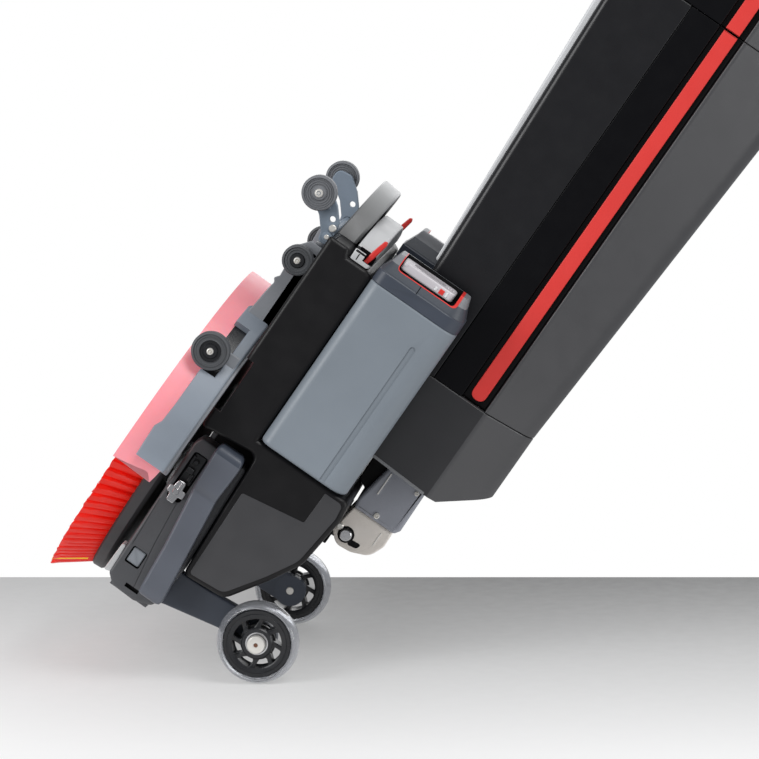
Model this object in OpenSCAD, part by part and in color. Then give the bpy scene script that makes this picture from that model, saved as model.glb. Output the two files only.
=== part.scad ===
// Walk-behind wet dry floor scrubber with a folding tank tower.
// X runs across the machine, the front faces -Y, +Z is up and the floor is z = 0.
// Lengths along the deck are measured from the transport wheel axle, then place() centres
// the whole machine on the origin. The right side, seen by the operator, is on -X.

/* [Brush] */
// Diameter over the bristle tips
brush_d = 318; // [310:1:320]
// Diameter of the brush block
block_d = 272; // [260:1:276]
// Height of the bristles
bristle_h = 32; // [28:1:34]
// Distance of the brush centre behind the transport axle
brush_y = 75; // [72:1:78]

/* [Squeegee] */
// Mean radius of the squeegee blade
blade_r = 188; // [187:1:190]
// Thickness of the blade
blade_t = 4; // [3:0.5:4]
// Height of the blade
blade_h = 45; // [43:1:45]

/* [Wheels] */
// Diameter of the transport wheels
wheel_d = 80; // [76:1:80]
// Width of the transport wheels
wheel_w = 24; // [22:1:24]
// Distance between the transport wheels' centres
wheel_track = 280; // [280:1:284]
// Height of the transport axle above the floor
axle_z = 212; // [210:1:214]
// Diameter of the side wheels at the squeegee
side_wheel_d = 37; // [34:1:37]
// Diameter of the guide wheels behind the squeegee
guide_wheel_d = 32; // [28:1:32]
// Diameter of the rear support wheels
rear_wheel_d = 34; // [32:1:34]

/* [Deck] */
// Half width of the deck hood
hood_hw = 150; // [148:1:150]
// Wall of the moulded covers
wall = 3; // [2.5:0.5:3]

/* [Batteries] */
// Length of the battery case without its cap
battery_l = 187; // [182:1:188]
// Height of the battery
battery_h = 96; // [92:1:97]
// Width of the battery
battery_w = 56; // [52:1:56]
// Length of the battery cap
cap_l = 35; // [32:1:36]

/* [Tower] */
// Half width of the tank tower
tower_hw = 92; // [88:1:92]
// Height of the neck pivot above the floor
pivot_z = 224; // [222:1:226]
// Where the tanks start, behind the transport axle
tank_y0 = 300; // [296:1:304]
// Where the tanks end
tank_y1 = 728; // [700:1:740]
// Length of the handle beyond the tower head
handle_l = 280; // [260:1:290]
// Width over the handle loop
handle_w = 380; // [340:1:400]

/* [Hidden] */
$fn = 64;

brush_r = brush_d / 2;
block_r = block_d / 2;
block_top = 48;
head_y1 = tank_y1 + 72;
loop_tube = 13;
loop_y1 = head_y1 + handle_l;
loop_y0 = loop_y1 - 96;
trigger_x = 44;
stem_z = 236;
y_min = brush_y - brush_r;
y_max = loop_y1 + loop_tube;
mid_y = (y_min + y_max) / 2;

// Deck levels
plate_z0 = 62;
plate_z1 = 67;
seat_z = 104;
seat_y0 = 163;
deck_y1 = 355;
skirt_z = 50;
lip_y = deck_y1 + 8;

// Transport wheel stations, measured on the right side (negative X)
wheel_x = -wheel_track / 2;
wheel_in = wheel_x + wheel_w / 2;
wheel_out = wheel_x - wheel_w / 2;
bearing_r = 11;
axle_r = 4;
run = 0.05;

// Pivot stations
pivot_y = 113;
arm_y = 353;
arm_z = 46;
rear_wheel_y = 385;
rear_wheel_x = -105;
latch_y = 75;
latch_z = 66;
housing_x = 146;
clip_x = -138;
clip_y = 359;
clip_z = 91.5;
clip_pin_r = 1.2;

// Battery stations
battery_x0 = -158;
battery_y0 = seat_y0 + 2;
battery_z0 = seat_z + 1;
cap_y0 = battery_y0 + battery_l;

// The batteries and the covers that come in pairs are drawn on the right and mirrored
module place() {
    translate([0, -mid_y, 0]) children();
}

module on_side(side) {
    place() mirror([side > 0 ? 1 : 0, 0, 0]) children();
}

// Extrudes a side profile given as (y, z) points from x0 to x1
module side_profile(x0, x1) {
    translate([x0, 0, 0]) rotate([90, 0, 90]) linear_extrude(x1 - x0) children();
}

module x_cylinder(r, x0, x1, y, z) {
    translate([x0, y, z]) rotate([0, 90, 0]) cylinder(r = r, h = x1 - x0);
}

module y_cylinder(r, y0, y1, x, z) {
    translate([x, y0, z]) rotate([-90, 0, 0]) cylinder(r = r, h = y1 - y0);
}

module block(low, high) {
    translate(low) cube(high - low);
}

// ---------- deck ----------

module hood_profile(inset) {
    i = inset;
    polygon([
        [14 + i, 116 + i / 2], [17 + i, 162 - i], [57 + i, 188 - i], [88 + i, 205 - i],
        [143, 211 - i], [seat_y0 - i, 208 - i], [seat_y0 - i, seat_z - i],
        [deck_y1 - 3 - i, seat_z - i], [deck_y1 - i, 98 - i], [deck_y1 - i, 75.5 - i],
        [lip_y - i, 72 - i], [lip_y - i, skirt_z - 5 * i],
        [143 + i, skirt_z - 5 * i], [150 + i, 110 + i / 2]
    ]);
}

module hood() {
    color("#1f1e20") place() difference() {
        side_profile(-hood_hw, hood_hw) hood_profile(0);
        side_profile(-hood_hw + wall, hood_hw - wall) hood_profile(wall);
        // Slot for the foot of the neck
        block([-27, pivot_y - 17, 190], [27, pivot_y + 17, 215]);
        // Open under side in front of the side recess
        block([-hood_hw + wall, 20, 100], [hood_hw - wall, 149, 125]);
        // Open behind the side recess, where the chassis plate passes
        block([-113, 140, skirt_z - 1], [113, 160, 125]);
        // Arches in the skirt for the squeegee ring, and a gap over the rear axle
        block([-hood_hw - 1, 165, skirt_z - 1], [hood_hw + 1, 222, 58.5]);
        block([-hood_hw + wall, deck_y1 + 1, skirt_z - 1], [hood_hw - wall, lip_y + 1, 57]);
    }
}

module chassis_outline() {
    intersection() {
        translate([0, 483]) circle(r = 538, $fn = 128);
        translate([-111, -55]) square([222, deck_y1 + 50]);
    }
}

module chassis_plate() {
    color("#3a3b3e") place() difference() {
        union() {
            translate([0, 0, plate_z0]) linear_extrude(plate_z1 - plate_z0) chassis_outline();
            // Nose wall that closes the front between the side frames
            difference() {
                translate([0, 0, plate_z1]) linear_extrude(37) chassis_outline();
                translate([0, 5, plate_z1]) linear_extrude(38) chassis_outline();
            }
        }
        translate([0, brush_y, plate_z0 - 1]) cylinder(r = 24, h = 10);
        block([-112, 12, plate_z1], [112, 400, 120]);
    }
}

module side_frame(side) {
    foot_x = wheel_in + 16;
    color("#4b4c50") on_side(side) difference() {
        union() {
            side_profile(-138, foot_x) polygon([
                [-28, 56], [-37, 66], [-38, 91], [-32, 108], [-24, 112], [14, 115],
                [130, 110], [132, 58], [124, 54]
            ]);
            side_profile(wheel_in + 4, foot_x) polygon([
                [-32, 100], [-27, 118], [-16, 172], [-14, axle_z], [14, axle_z],
                [11, 162], [9, 118], [11, 100]
            ]);
            x_cylinder(16, wheel_in + 2, foot_x, 0, axle_z);
        }
        x_cylinder(axle_r, -140, -100, 0, axle_z);
        // Pocket for the squeegee latch and its linkage
        block([-139, 66, 60], [-128, 118, 75]);
        // Pocket of the brush release button
        block([-139, -10, 62], [-126, 8, 78]);
        // Stem hole of the release button
        block([-127, -4, 67], [-110, 2, 73]);
        // Drain slot in the nose
        block([-139, -31, 80], [-134, -27, 91]);
        // Hollow behind the outer skin
        block([-132, 20, 78], [-111, 122, 98]);
    }
}

module side_bar(side) {
    color("#5a5d66") on_side(side) difference() {
        side_profile(-160, -138.2) polygon([
            [-24, 92], [-17, 115], [90, 103.5], [134, 105], [141, 100], [140, 79], [128, 75], [90, 79]
        ]);
        // The bar is a hollow moulding, open towards the frame
        side_profile(-157, -138) polygon([
            [-19, 95], [-14, 110], [90, 99], [132, 100], [136, 96], [136, 82], [127, 79], [90, 83]
        ]);
    }
}

module axle_pins() {
    color("#c8c8ca") place() {
        for (side = [-1, 1]) mirror([side > 0 ? 1 : 0, 0, 0]) {
            x_cylinder(axle_r, wheel_out - 2, wheel_in + 16, 0, axle_z);
            x_cylinder(9, wheel_out - 6, wheel_out - 2, 0, axle_z);
        }
        x_cylinder(6, -40, 40, pivot_y, pivot_z);
    }
}

module wheel_bearings() {
    color("#a9abad") place() for (side = [-1, 1], x = [wheel_out + 1.5, wheel_in - 8.5]) {
        mirror([side > 0 ? 1 : 0, 0, 0]) difference() {
            x_cylinder(bearing_r, x, x + 7, 0, axle_z);
            x_cylinder(axle_r, x - 1, x + 8, 0, axle_z);
        }
    }
}

module brush_motor() {
    color("#8c8f92") place() {
        translate([0, brush_y, 92]) cylinder(r = 38, h = 62);
        translate([0, brush_y, 154]) cylinder(r = 26, h = 9);
        for (a = [0:30:330]) translate([0, brush_y, 96]) rotate(a) block([37, -1.5, 0], [40, 1.5, 50]);
    }
}

module gearbox() {
    color("#6d7073") place() difference() {
        union() {
            translate([0, brush_y, plate_z1]) cylinder(r = 46, h = 25);
            translate([0, brush_y, plate_z0]) cylinder(r = 23.5, h = 6);
        }
        translate([0, brush_y, plate_z0 - 1]) cylinder(r = 14 + run, h = 22);
    }
}

// Bowed rear outline from y0 at its ends, reaching depth further back in the middle
module rear_bow(half_width, y0, depth) {
    r = (half_width * half_width + depth * depth) / (2 * depth);
    intersection() {
        translate([0, y0 + depth - r]) circle(r = r, $fn = 256);
        translate([-half_width, y0 - 0.01]) square([2 * half_width, depth + 1]);
    }
}

module rear_housing() {
    color("#c9cacc") place() difference() {
        union() {
            translate([0, 0, 76.5]) linear_extrude(21.5) {
                rear_bow(housing_x, 366, 22);
                translate([-housing_x, deck_y1 + 0.5]) square([2 * housing_x, 10.6]);
            }
            translate([0, 0, 68]) linear_extrude(9) {
                rear_bow(84, 366, 17);
                translate([-84, lip_y + 0.5]) square([168, 2.6]);
            }
        }
        translate([0, 0, 67]) linear_extrude(28) {
            rear_bow(76, 366, 13);
            translate([-76, lip_y + 3.5]) square([152, 0.1]);
        }
        // Slots for the toggle clips, open to the rear, and the holes of their pins
        for (side = [-1, 1]) mirror([side > 0 ? 1 : 0, 0, 0]) {
            block([clip_x - 4, deck_y1 - 1, 80], [clip_x + 4, 390, 99]);
            x_cylinder(clip_pin_r + run, clip_x + 3, clip_x + 9, clip_y, clip_z);
        }
    }
}

module loop_outline(inset) {
    intersection() {
        translate([0, 303]) circle(r = 116 - inset, $fn = 128);
        translate([-110 + inset, lip_y - 6]) square([220 - 2 * inset, 90]);
    }
}

module rear_handle() {
    color("#b9babc") place() difference() {
        translate([0, lip_y, 52]) rotate([6, 0, 0]) translate([0, -lip_y, 0]) difference() {
            linear_extrude(21) loop_outline(0);
            translate([0, 0, 4]) linear_extrude(18) loop_outline(7);
            // Finger space through the loop's floor
            translate([0, 0, -1]) linear_extrude(10) difference() {
                loop_outline(7);
                translate([-100, lip_y - 8]) square([200, 34]);
            }
        }
        block([-130, lip_y - 20, 40], [130, lip_y + 0.4, 90]);
    }
}

module neck_base() {
    color("#3c3e42") place() difference() {
        union() {
            block([-26, pivot_y - 16, 164], [26, pivot_y + 16, 206]);
            side_profile(-22, 22) polygon([
                [pivot_y - 12, 204], [pivot_y - 11, pivot_z], [pivot_y + 11, pivot_z], [pivot_y + 12, 204]
            ]);
            x_cylinder(11, -22, 22, pivot_y, pivot_z);
        }
        x_cylinder(6, -30, 30, pivot_y, pivot_z);
    }
}

// ---------- brush ----------

module brush_block() {
    color("#3b3b3d") place() difference() {
        translate([0, brush_y, bristle_h]) cylinder(r = block_r, h = block_top - bristle_h);
        translate([0, brush_y, bristle_h - 1]) cylinder(r = 14, h = 20);
    }
}

module brush_bristles() {
    color("#e8281e") place() difference() {
        translate([0, brush_y, 0]) cylinder(r1 = brush_r, r2 = block_r - 2, h = bristle_h, $fn = 96);
        translate([0, brush_y, -1]) cylinder(r = 70, h = bristle_h + 2);
    }
}

module drive_shaft() {
    color("#b5b7b9") place() {
        translate([0, brush_y, 34]) cylinder(r = 14, h = 48);
        translate([0, brush_y, block_top]) cylinder(r = 30, h = 8);
    }
}

// ---------- transport wheels ----------

module transport_tyre(side) {
    tyre_in = 30;
    crown = wheel_d / 2;
    color("#e8e8ea", 0.6) on_side(side) translate([wheel_x, 0, axle_z]) rotate([0, 90, 0])
        rotate_extrude() polygon([
            [tyre_in, -wheel_w / 2 + 2], [tyre_in + 2, -wheel_w / 2], [crown - 5, -wheel_w / 2 + 2],
            [crown - 1.5, -6], [crown, -2], [crown, 2], [crown - 1.5, 6],
            [crown - 5, wheel_w / 2 - 2], [tyre_in + 2, wheel_w / 2], [tyre_in, wheel_w / 2 - 2]
        ]);
}

module transport_hub(side) {
    half = wheel_w / 2 - 1;
    color("#242528") on_side(side) translate([wheel_x, 0, axle_z]) rotate([0, 90, 0]) difference() {
        union() {
            difference() {
                translate([0, 0, -half]) cylinder(r = 30, h = 2 * half);
                translate([0, 0, -half - 1]) cylinder(r = 26, h = 2 * half + 2);
            }
            translate([0, 0, -half]) cylinder(r = 15, h = 2 * half);
            for (a = [0:60:300]) rotate(a) block([13, -3.5, -half + 2], [27, 3.5, half - 2]);
        }
        translate([0, 0, -half - 1]) cylinder(r = bearing_r + run, h = 2 * half + 2);
    }
}

// ---------- squeegee ----------

// A ring section swept over the half circle behind the brush
module rear_sweep(first = 6) {
    translate([0, brush_y + 3, 0]) rotate(first) rotate_extrude(angle = 180 - 2 * first, $fn = 128) children();
}

frame_top = 51;
slot_in = blade_r - blade_t / 2 - 0.1;
slot_out = blade_r + blade_t / 2 + 0.1;
frame_in = slot_in - 9;
frame_out = slot_out + 8;
side_wheel_z = side_wheel_d / 2 + 0.5;

module squeegee_frame() {
    color("#7d858e") place() difference() {
        union() {
            rear_sweep() polygon([
                [frame_in, 24], [slot_in, 24], [slot_in, blade_h], [slot_out, blade_h],
                [slot_out, 17], [frame_out, 20],
                [frame_out, frame_top - 3], [frame_out - 3, frame_top], [frame_in, frame_top]
            ]);
            // Yoke behind the ring that carries the guide wheels and the suction port
            difference() {
                block([-95, 240, 40], [95, 342, frame_top]);
                block([-91, 230, 38], [91, 338, frame_top - 3]);
                translate([0, brush_y + 3, 30]) cylinder(r = slot_out + 1, h = 30, $fn = 128);
            }
            // Axle lugs and axles of the side wheels
            for (side = [-1, 1]) mirror([side > 0 ? 1 : 0, 0, 0]) {
                block([-150, 203, 12], [-145.5, 217, 44]);
                x_cylinder(3, -167, -146, 210, side_wheel_z);
            }
            // Side ears that hang on the latches
            for (side = [-1, 1]) mirror([side > 0 ? 1 : 0, 0, 0]) {
                block([-frame_in - 4, 99, 40], [-150, 110, frame_top]);
                block([-151, 84, 40], [-142, 110, frame_top]);
                x_cylinder(3, -113, -92, 320, 36);
                block([-97, 312, 30], [-92, 328, frame_top]);
            }
        }
        // Notches for the side wheels, each with its axle lug
        for (side = [-1, 1]) mirror([side > 0 ? 1 : 0, 0, 0]) difference() {
            block([-172, 187, 0], [-122, 233, 40]);
            block([-150, 203, 12], [-145.5, 217, 41]);
            x_cylinder(3, -167, -146, 210, side_wheel_z);
            rear_sweep() square([blade_r, blade_h]);
        }
        // Suction port
        translate([0, 290, 40]) cylinder(r = 16, h = 20);
    }
}

module squeegee_blade() {
    color("#f0909a") place() rear_sweep(3) polygon([
        [blade_r - blade_t / 2, 0], [blade_r + blade_t / 2, 0],
        [blade_r + blade_t / 2, blade_h], [blade_r - blade_t / 2, blade_h]
    ]);
}

module small_wheel(side, r, x, y, z, width) {
    color("#3a3a3c") on_side(side) difference() {
        translate([x, y, z]) rotate([0, 90, 0]) rotate_extrude() polygon([
            [3 + run, -width / 2], [r - 2, -width / 2], [r, -width / 2 + 2],
            [r, width / 2 - 2], [r - 2, width / 2], [3 + run, width / 2]
        ]);
    }
}

module side_wheel(side) {
    small_wheel(side, side_wheel_d / 2, -160, 210, side_wheel_z, 11);
}

module guide_wheel(side) {
    small_wheel(side, guide_wheel_d / 2 - 1, -105, 320, 36, 12);
}

// ---------- rear support arm ----------

module rear_arm() {
    color("#66707c") place() {
        for (side = [-1, 1]) mirror([side > 0 ? 1 : 0, 0, 0]) {
            difference() {
                side_profile(-96, -90) polygon([
                    [346, 40], [346, 49], [368, 49], [382, 38], [393, 24], [391, 10],
                    [380, 10], [366, 30], [356, 39]
                ]);
                x_cylinder(3, -100, -86, 368, 42);
            }
            x_cylinder(3, -113, -95, rear_wheel_y, rear_wheel_d / 2);
            x_cylinder(5, -90, -84, arm_y, arm_z);
        }
        x_cylinder(4, -91, 91, arm_y, arm_z);
    }
}

module rear_wheel(side) {
    small_wheel(side, rear_wheel_d / 2, rear_wheel_x, rear_wheel_y, rear_wheel_d / 2, 13);
}

// ---------- small controls on the deck ----------

module clip(side) {
    color("#d8332f") on_side(side) {
        x_cylinder(2.4, clip_x - 3, clip_x + 3, clip_y, clip_z);
        x_cylinder(clip_pin_r, clip_x + 2, clip_x + 8, clip_y, clip_z);
        side_profile(clip_x - 3, clip_x + 3) polygon([
            [clip_y, 89.2], [372, 91], [386, 95], [388, 98], [384, 99.5], [366, 96], [clip_y, 93.8]
        ]);
    }
}

module latch(side) {
    color("#b9babd") on_side(side) {
        x_cylinder(5, -138.5, -129, latch_y, latch_z);
        block([-141, latch_y - 4, latch_z - 12], [-138.2, latch_y + 4, latch_z + 12]);
        block([-141, latch_y - 12, latch_z - 4], [-138.2, latch_y + 12, latch_z + 4]);
    }
}

module release_button(side) {
    color("#8b8d92") on_side(side) {
        block([-136.5, -9, 63], [-128, 7, 77]);
        block([-128.5, -3.5, 67.5], [-112, 1.5, 72.5]);
    }
}

// ---------- batteries ----------

module battery_section(inset) {
    i = inset;
    x0 = battery_x0 + i;
    x1 = battery_x0 + battery_w - i;
    z0 = battery_z0 + i;
    z1 = battery_z0 + battery_h - i;
    polygon([
        [x0, z0 + 2], [x0, z1 - 14], [x0 + 4, z1 - 5], [x0 + 14, z1], [x1 - 4, z1],
        [x1, z1 - 4], [x1, z0], [x0 + 2, z0]
    ]);
}

module y_extrude(y0, y1) {
    translate([0, y1, 0]) rotate([90, 0, 0]) linear_extrude(y1 - y0) children();
}

module battery_case(side) {
    color("#828a93") on_side(side) difference() {
        y_extrude(battery_y0, cap_y0) battery_section(0);
        y_extrude(battery_y0 + 2.5, cap_y0 + 1) battery_section(2.5);
    }
}

module battery_cells(side) {
    color("#5f86b5") on_side(side) for (row = [0:3], column = [0:1], stage = [0:1]) {
        y_cylinder(
            9, battery_y0 + 8 + stage * 78, battery_y0 + 76 + stage * 78,
            battery_x0 + 18 + column * 20, battery_z0 + 14 + row * 20
        );
    }
}

module battery_cap(side) {
    x1 = battery_x0 + battery_w;
    color("#414854") on_side(side) difference() {
        hull() {
            y_extrude(cap_y0, cap_y0 + cap_l / 2 - 4) battery_section(0);
            y_extrude(cap_y0 + cap_l - 1, cap_y0 + cap_l) battery_section(10);
        }
        // Finger recess behind the handle
        block([-150, cap_y0 + 16, battery_z0 + 14], [-114, cap_y0 + cap_l + 1, battery_z0 + 77]);
    }
}

module battery_handle(side) {
    pin_z = battery_z0 + 19.5;
    color("#b4b6ba") on_side(side) {
        block([-148, cap_y0 + 26, battery_z0 + 17], [-116, cap_y0 + 33, battery_z0 + 22]);
        for (x = [-148, -121]) block([x, cap_y0 + 26, battery_z0 + 21], [x + 5, cap_y0 + 33, battery_z0 + 62]);
        block([-148, cap_y0 + 26, battery_z0 + 61], [-116, cap_y0 + 33, battery_z0 + 74]);
        x_cylinder(2, -149.9, -114.1, cap_y0 + 29.5, pin_z);
    }
}

// ---------- neck and tower ----------

module neck_casting() {
    color("#b0aaa4") place() difference() {
        union() {
            for (x = [-35, 23]) {
                x_cylinder(14, x, x + 12, pivot_y, pivot_z);
                side_profile(x, x + 12) polygon([
                    [pivot_y - 12, pivot_z + 6], [pivot_y - 4, pivot_z + 29], [pivot_y + 8, 261],
                    [141, 260], [141, 216], [pivot_y + 8, pivot_z - 9]
                ]);
            }
            block([-35, 127, 217], [35, 141, 260]);
        }
        x_cylinder(6 + run, -40, 40, pivot_y, pivot_z);
    }
}

module neck_block() {
    color("#6b6e76") place() difference() {
        side_profile(-40, 40) polygon([[141, 215], [141, 262], [146, 266], [200, 265], [200, 222], [150, 213]]);
        y_cylinder(13, 150, 201, 0, 240);
    }
}

// Height of the tower's back face, which leans outwards towards the head
function back_z(y) = 150 - 19 * (y - tank_y0) / 428;
// Height of the tower's front face
function front_z(y) = 320 + 22 * (y - tank_y0) / 428;
band_z = 206;
groove_z0 = 238;
groove_z1 = 265;
groove_d = 8;
corner_z = 268;

// Cuts the two long front corners of the tower
module corner_cut(y0, y1, inset) {
    for (side = [-1, 1]) mirror([side > 0 ? 1 : 0, 0, 0]) y_extrude(y0, y1) polygon([
        [-tower_hw - 1, corner_z - inset], [-tower_hw - 1, 370], [-44 + inset, 370],
        [-44 + inset, 352 - inset], [-60 + inset, 326 - inset], [-tower_hw + inset, corner_z - inset]
    ]);
}

module tower_base() {
    color("#2e2e31") place() difference() {
        side_profile(-tower_hw, tower_hw) polygon([
            [205, back_z(205)], [200, 264], [200, 276], [229.5, 320], [tank_y0 - 0.5, front_z(tank_y0)],
            [tank_y0 - 0.5, back_z(tank_y0)]
        ]);
        difference() {
            side_profile(-tower_hw + wall, tower_hw - wall) polygon([
                [209, back_z(205) + wall], [204, 263], [204, 276.5], [231.2, 320 - wall],
                [tank_y0 - 4, front_z(tank_y0) - wall],
                [tank_y0 - 4, back_z(tank_y0) + wall]
            ]);
            corner_cut(190, 310, wall);
        }
        corner_cut(190, 310, 0);
        // Passage for the hose and leads from the neck
        y_cylinder(13, 190, 215, 0, 240);
    }
}

module vacuum_motor() {
    color("#9fa2a5") place() {
        translate([0, 250, 170]) cylinder(r = 36, h = 50);
        translate([0, 250, 220]) cylinder(r = 26, h = 40);
    }
}

module back_panel() {
    color("#d2d3d5") place() side_profile(-74, 74) polygon([
        [392, back_z(392) - 3], [head_y1 - 20, back_z(head_y1) - 8],
        [head_y1 - 20, back_z(head_y1) - 0.3], [392, back_z(392) - 0.3]
    ]);
}

module rear_tank() {
    color("#2b2b2d") place() difference() {
        side_profile(-tower_hw, tower_hw) polygon([
            [tank_y0, back_z(tank_y0)], [tank_y0, band_z], [tank_y1, band_z], [tank_y1, back_z(tank_y1)]
        ]);
        side_profile(-tower_hw + wall, tower_hw - wall) polygon([
            [tank_y0 + wall, back_z(tank_y0) + wall], [tank_y0 + wall, band_z - wall],
            [tank_y1 - wall, band_z - wall], [tank_y1 - wall, back_z(tank_y1) + wall]
        ]);
        // Inlet at the head end
        y_cylinder(18, tank_y1 - 10, tank_y1 + 1, 0, 170);
    }
}

module front_tank_shape(inset) {
    i = inset;
    hw = tower_hw - i;
    difference() {
        side_profile(-hw, hw) polygon([
            [tank_y0 + i, band_z + 0.4 + i], [tank_y0 + i, front_z(tank_y0) - i],
            [tank_y1 - i, front_z(tank_y1) - i], [tank_y1 - i, band_z + 0.4 + i]
        ]);
        corner_cut(tank_y0 - 1, tank_y1 + 1, i);
        // Grooves that hold the accent stripes
        for (side = [-1, 1]) mirror([side > 0 ? 1 : 0, 0, 0]) {
            block([-hw - 1, tank_y0 - 1, groove_z0 - i], [-hw + groove_d, tank_y1 + 1, groove_z1 + i]);
        }
    }
}

module front_tank() {
    color("#303033") place() difference() {
        front_tank_shape(0);
        front_tank_shape(wall);
        // Filling mouth at the head end
        y_cylinder(20, tank_y1 - 10, tank_y1 + 1, 0, 270);
    }
}

module accent_stripes() {
    color("#de3936") place() for (side = [-1, 1]) mirror([side > 0 ? 1 : 0, 0, 0]) {
        block([-tower_hw + 3, tank_y0 + 4, 244], [-tower_hw + groove_d, tank_y1 - 1, 259]);
    }
}

module head_shape(inset) {
    i = inset;
    y0 = tank_y1 + 0.5;
    hull() {
        side_profile(-tower_hw + i, tower_hw - i) polygon([
            [y0 + i, back_z(tank_y1) + i], [y0 + i, corner_z - i], [tank_y1 + 40 - i, corner_z - i],
            [tank_y1 + 40 - i, back_z(tank_y1) - 2 + i]
        ]);
        side_profile(-44 + i, 44 - i) polygon([
            [y0 + i, 250], [y0 + i, front_z(tank_y1) - i], [tank_y1 + 34 - i, 338 - i],
            [head_y1 - i, 275 - i], [head_y1 - i, 200 + i], [head_y1 - 8 - i, 150 + i]
        ]);
    }
}

module tower_head() {
    color("#2b2b2d") place() difference() {
        head_shape(0);
        head_shape(wall);
        y_cylinder(17, tank_y1 + 12, head_y1 + 2, 0, stem_z);
    }
}

module handle_stem() {
    color("#3a3b3e") place() y_cylinder(17, tank_y1 + 12, loop_y0 - 14, 0, stem_z);
}

// Rounded loop of round tube in the plane of the stem
module loop_path() {
    half = handle_w / 2 - loop_tube;
    bend = 38;
    for (y = [loop_y0, loop_y1]) x_cylinder(loop_tube, -half + bend, half - bend, y, stem_z);
    for (x = [-half, half]) y_cylinder(loop_tube, loop_y0 + bend, loop_y1 - bend, x, stem_z);
    for (sx = [0, 1], sy = [0, 1]) {
        translate([(sx ? 1 : -1) * (half - bend), sy ? loop_y1 - bend : loop_y0 + bend, stem_z])
            mirror([sx ? 0 : 1, 0, 0]) mirror([0, sy ? 0 : 1, 0])
                rotate_extrude(angle = 90) translate([bend, 0]) circle(r = loop_tube);
    }
}

module handle_loop() {
    color("#2b2b2d") place() difference() {
        loop_path();
        block([-56, loop_y0 - 20, 200], [56, loop_y0 + 20, 270]);
    }
}

module handle_grips() {
    color("#3a3a3c") place() for (x = [-124, 64]) difference() {
        x_cylinder(loop_tube + 3, x, x + 60, loop_y1, stem_z);
        x_cylinder(loop_tube, x - 1, x + 61, loop_y1, stem_z);
    }
}

module control_head() {
    color("#3a3b3e") place() for (x = [-trigger_x, trigger_x]) {
        translate([x, loop_y0 + 20, 219]) cylinder(r = 2, h = 36);
    }
    color("#3a3b3e") place() difference() {
        block([-56, loop_y0 - 34, 210], [56, loop_y0 + 34, 258]);
        block([-52, loop_y0 - 30, 220], [52, loop_y0 + 30, 254]);
        y_cylinder(17, loop_y0 - 36, loop_y0 - 14, 0, stem_z);
        // Slots for the triggers
        for (side = [-1, 1]) mirror([side > 0 ? 1 : 0, 0, 0]) {
            block([-57, loop_y0 + 12, 227], [-51, loop_y0 + 32, 245]);
        }
        // Bezel for the display and the bore of the button
        block([-40, loop_y0 - 24, 207], [12, loop_y0 + 24, 213]);
        translate([34, loop_y0, 205]) cylinder(r = 9, h = 20);
    }
}

module display_panel() {
    color("#20262b") place() block([-39.5, loop_y0 - 23.5, 209], [11.5, loop_y0 + 23.5, 213]);
}

module power_button() {
    color("#d8332f") place() {
        translate([34, loop_y0, 205]) cylinder(r = 8.6, h = 14);
        translate([34, loop_y0, 220.5]) cylinder(r = 10.5, h = 2);
        translate([34, loop_y0, 218]) cylinder(r = 6, h = 4);
    }
}

module trigger(side) {
    color("#d8332f") on_side(side) difference() {
        union() {
            translate([-trigger_x, loop_y0 + 20, 229]) cylinder(r = 6, h = 14);
            translate([0, 0, 229]) linear_extrude(14) polygon([
                [-trigger_x + 2, loop_y0 + 26], [-62, loop_y0 + 28], [-76, loop_y1 - 31],
                [-122, loop_y1 - 31], [-124, loop_y1 - 36], [-84, loop_y1 - 40],
                [-70, loop_y0 + 16], [-trigger_x, loop_y0 + 14]
            ]);
        }
        translate([-trigger_x, loop_y0 + 20, 228]) cylinder(r = 2 + run, h = 16);
    }
}

// ---------- nodes ----------

hood();
chassis_plate();
side_frame(-1);  // side_frame_right
side_frame(1);  // side_frame_left
side_bar(-1);  // side_bar_right
side_bar(1);  // side_bar_left
axle_pins();
wheel_bearings();
brush_motor();
gearbox();
rear_housing();
rear_handle();
neck_base();
brush_block();
brush_bristles();
drive_shaft();
transport_tyre(-1);  // transport_tyre_right
transport_tyre(1);  // transport_tyre_left
transport_hub(-1);  // transport_hub_right
transport_hub(1);  // transport_hub_left
squeegee_frame();
squeegee_blade();
side_wheel(-1);  // side_wheel_right
side_wheel(1);  // side_wheel_left
guide_wheel(-1);  // guide_wheel_right
guide_wheel(1);  // guide_wheel_left
rear_arm();
rear_wheel(-1);  // rear_wheel_right
rear_wheel(1);  // rear_wheel_left
clip(-1);  // clip_right
clip(1);  // clip_left
latch(-1);  // latch_right
latch(1);  // latch_left
release_button(-1);  // release_button_right
release_button(1);  // release_button_left
battery_case(-1);  // battery_case_right
battery_case(1);  // battery_case_left
battery_cap(-1);  // battery_cap_right
battery_cap(1);  // battery_cap_left
battery_cells(-1);  // battery_cells_right
battery_cells(1);  // battery_cells_left
battery_handle(-1);  // battery_handle_right
battery_handle(1);  // battery_handle_left
neck_casting();
neck_block();
tower_base();
vacuum_motor();
back_panel();
rear_tank();
front_tank();
accent_stripes();
tower_head();
handle_stem();
handle_loop();
handle_grips();
control_head();
display_panel();
trigger(-1);  // trigger_right
trigger(1);  // trigger_left
power_button();
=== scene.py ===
"""Studio picture of a folded wet dry floor scrubber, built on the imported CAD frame.

Lengths are in millimetres, measured as in the CAD source: x across the machine, y from the
transport axle towards the handle, z up. The right side, on -x, is modelled and mirrored.
"""

import math
import random

import bmesh
import bpy
from mathutils import Matrix, Vector


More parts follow.
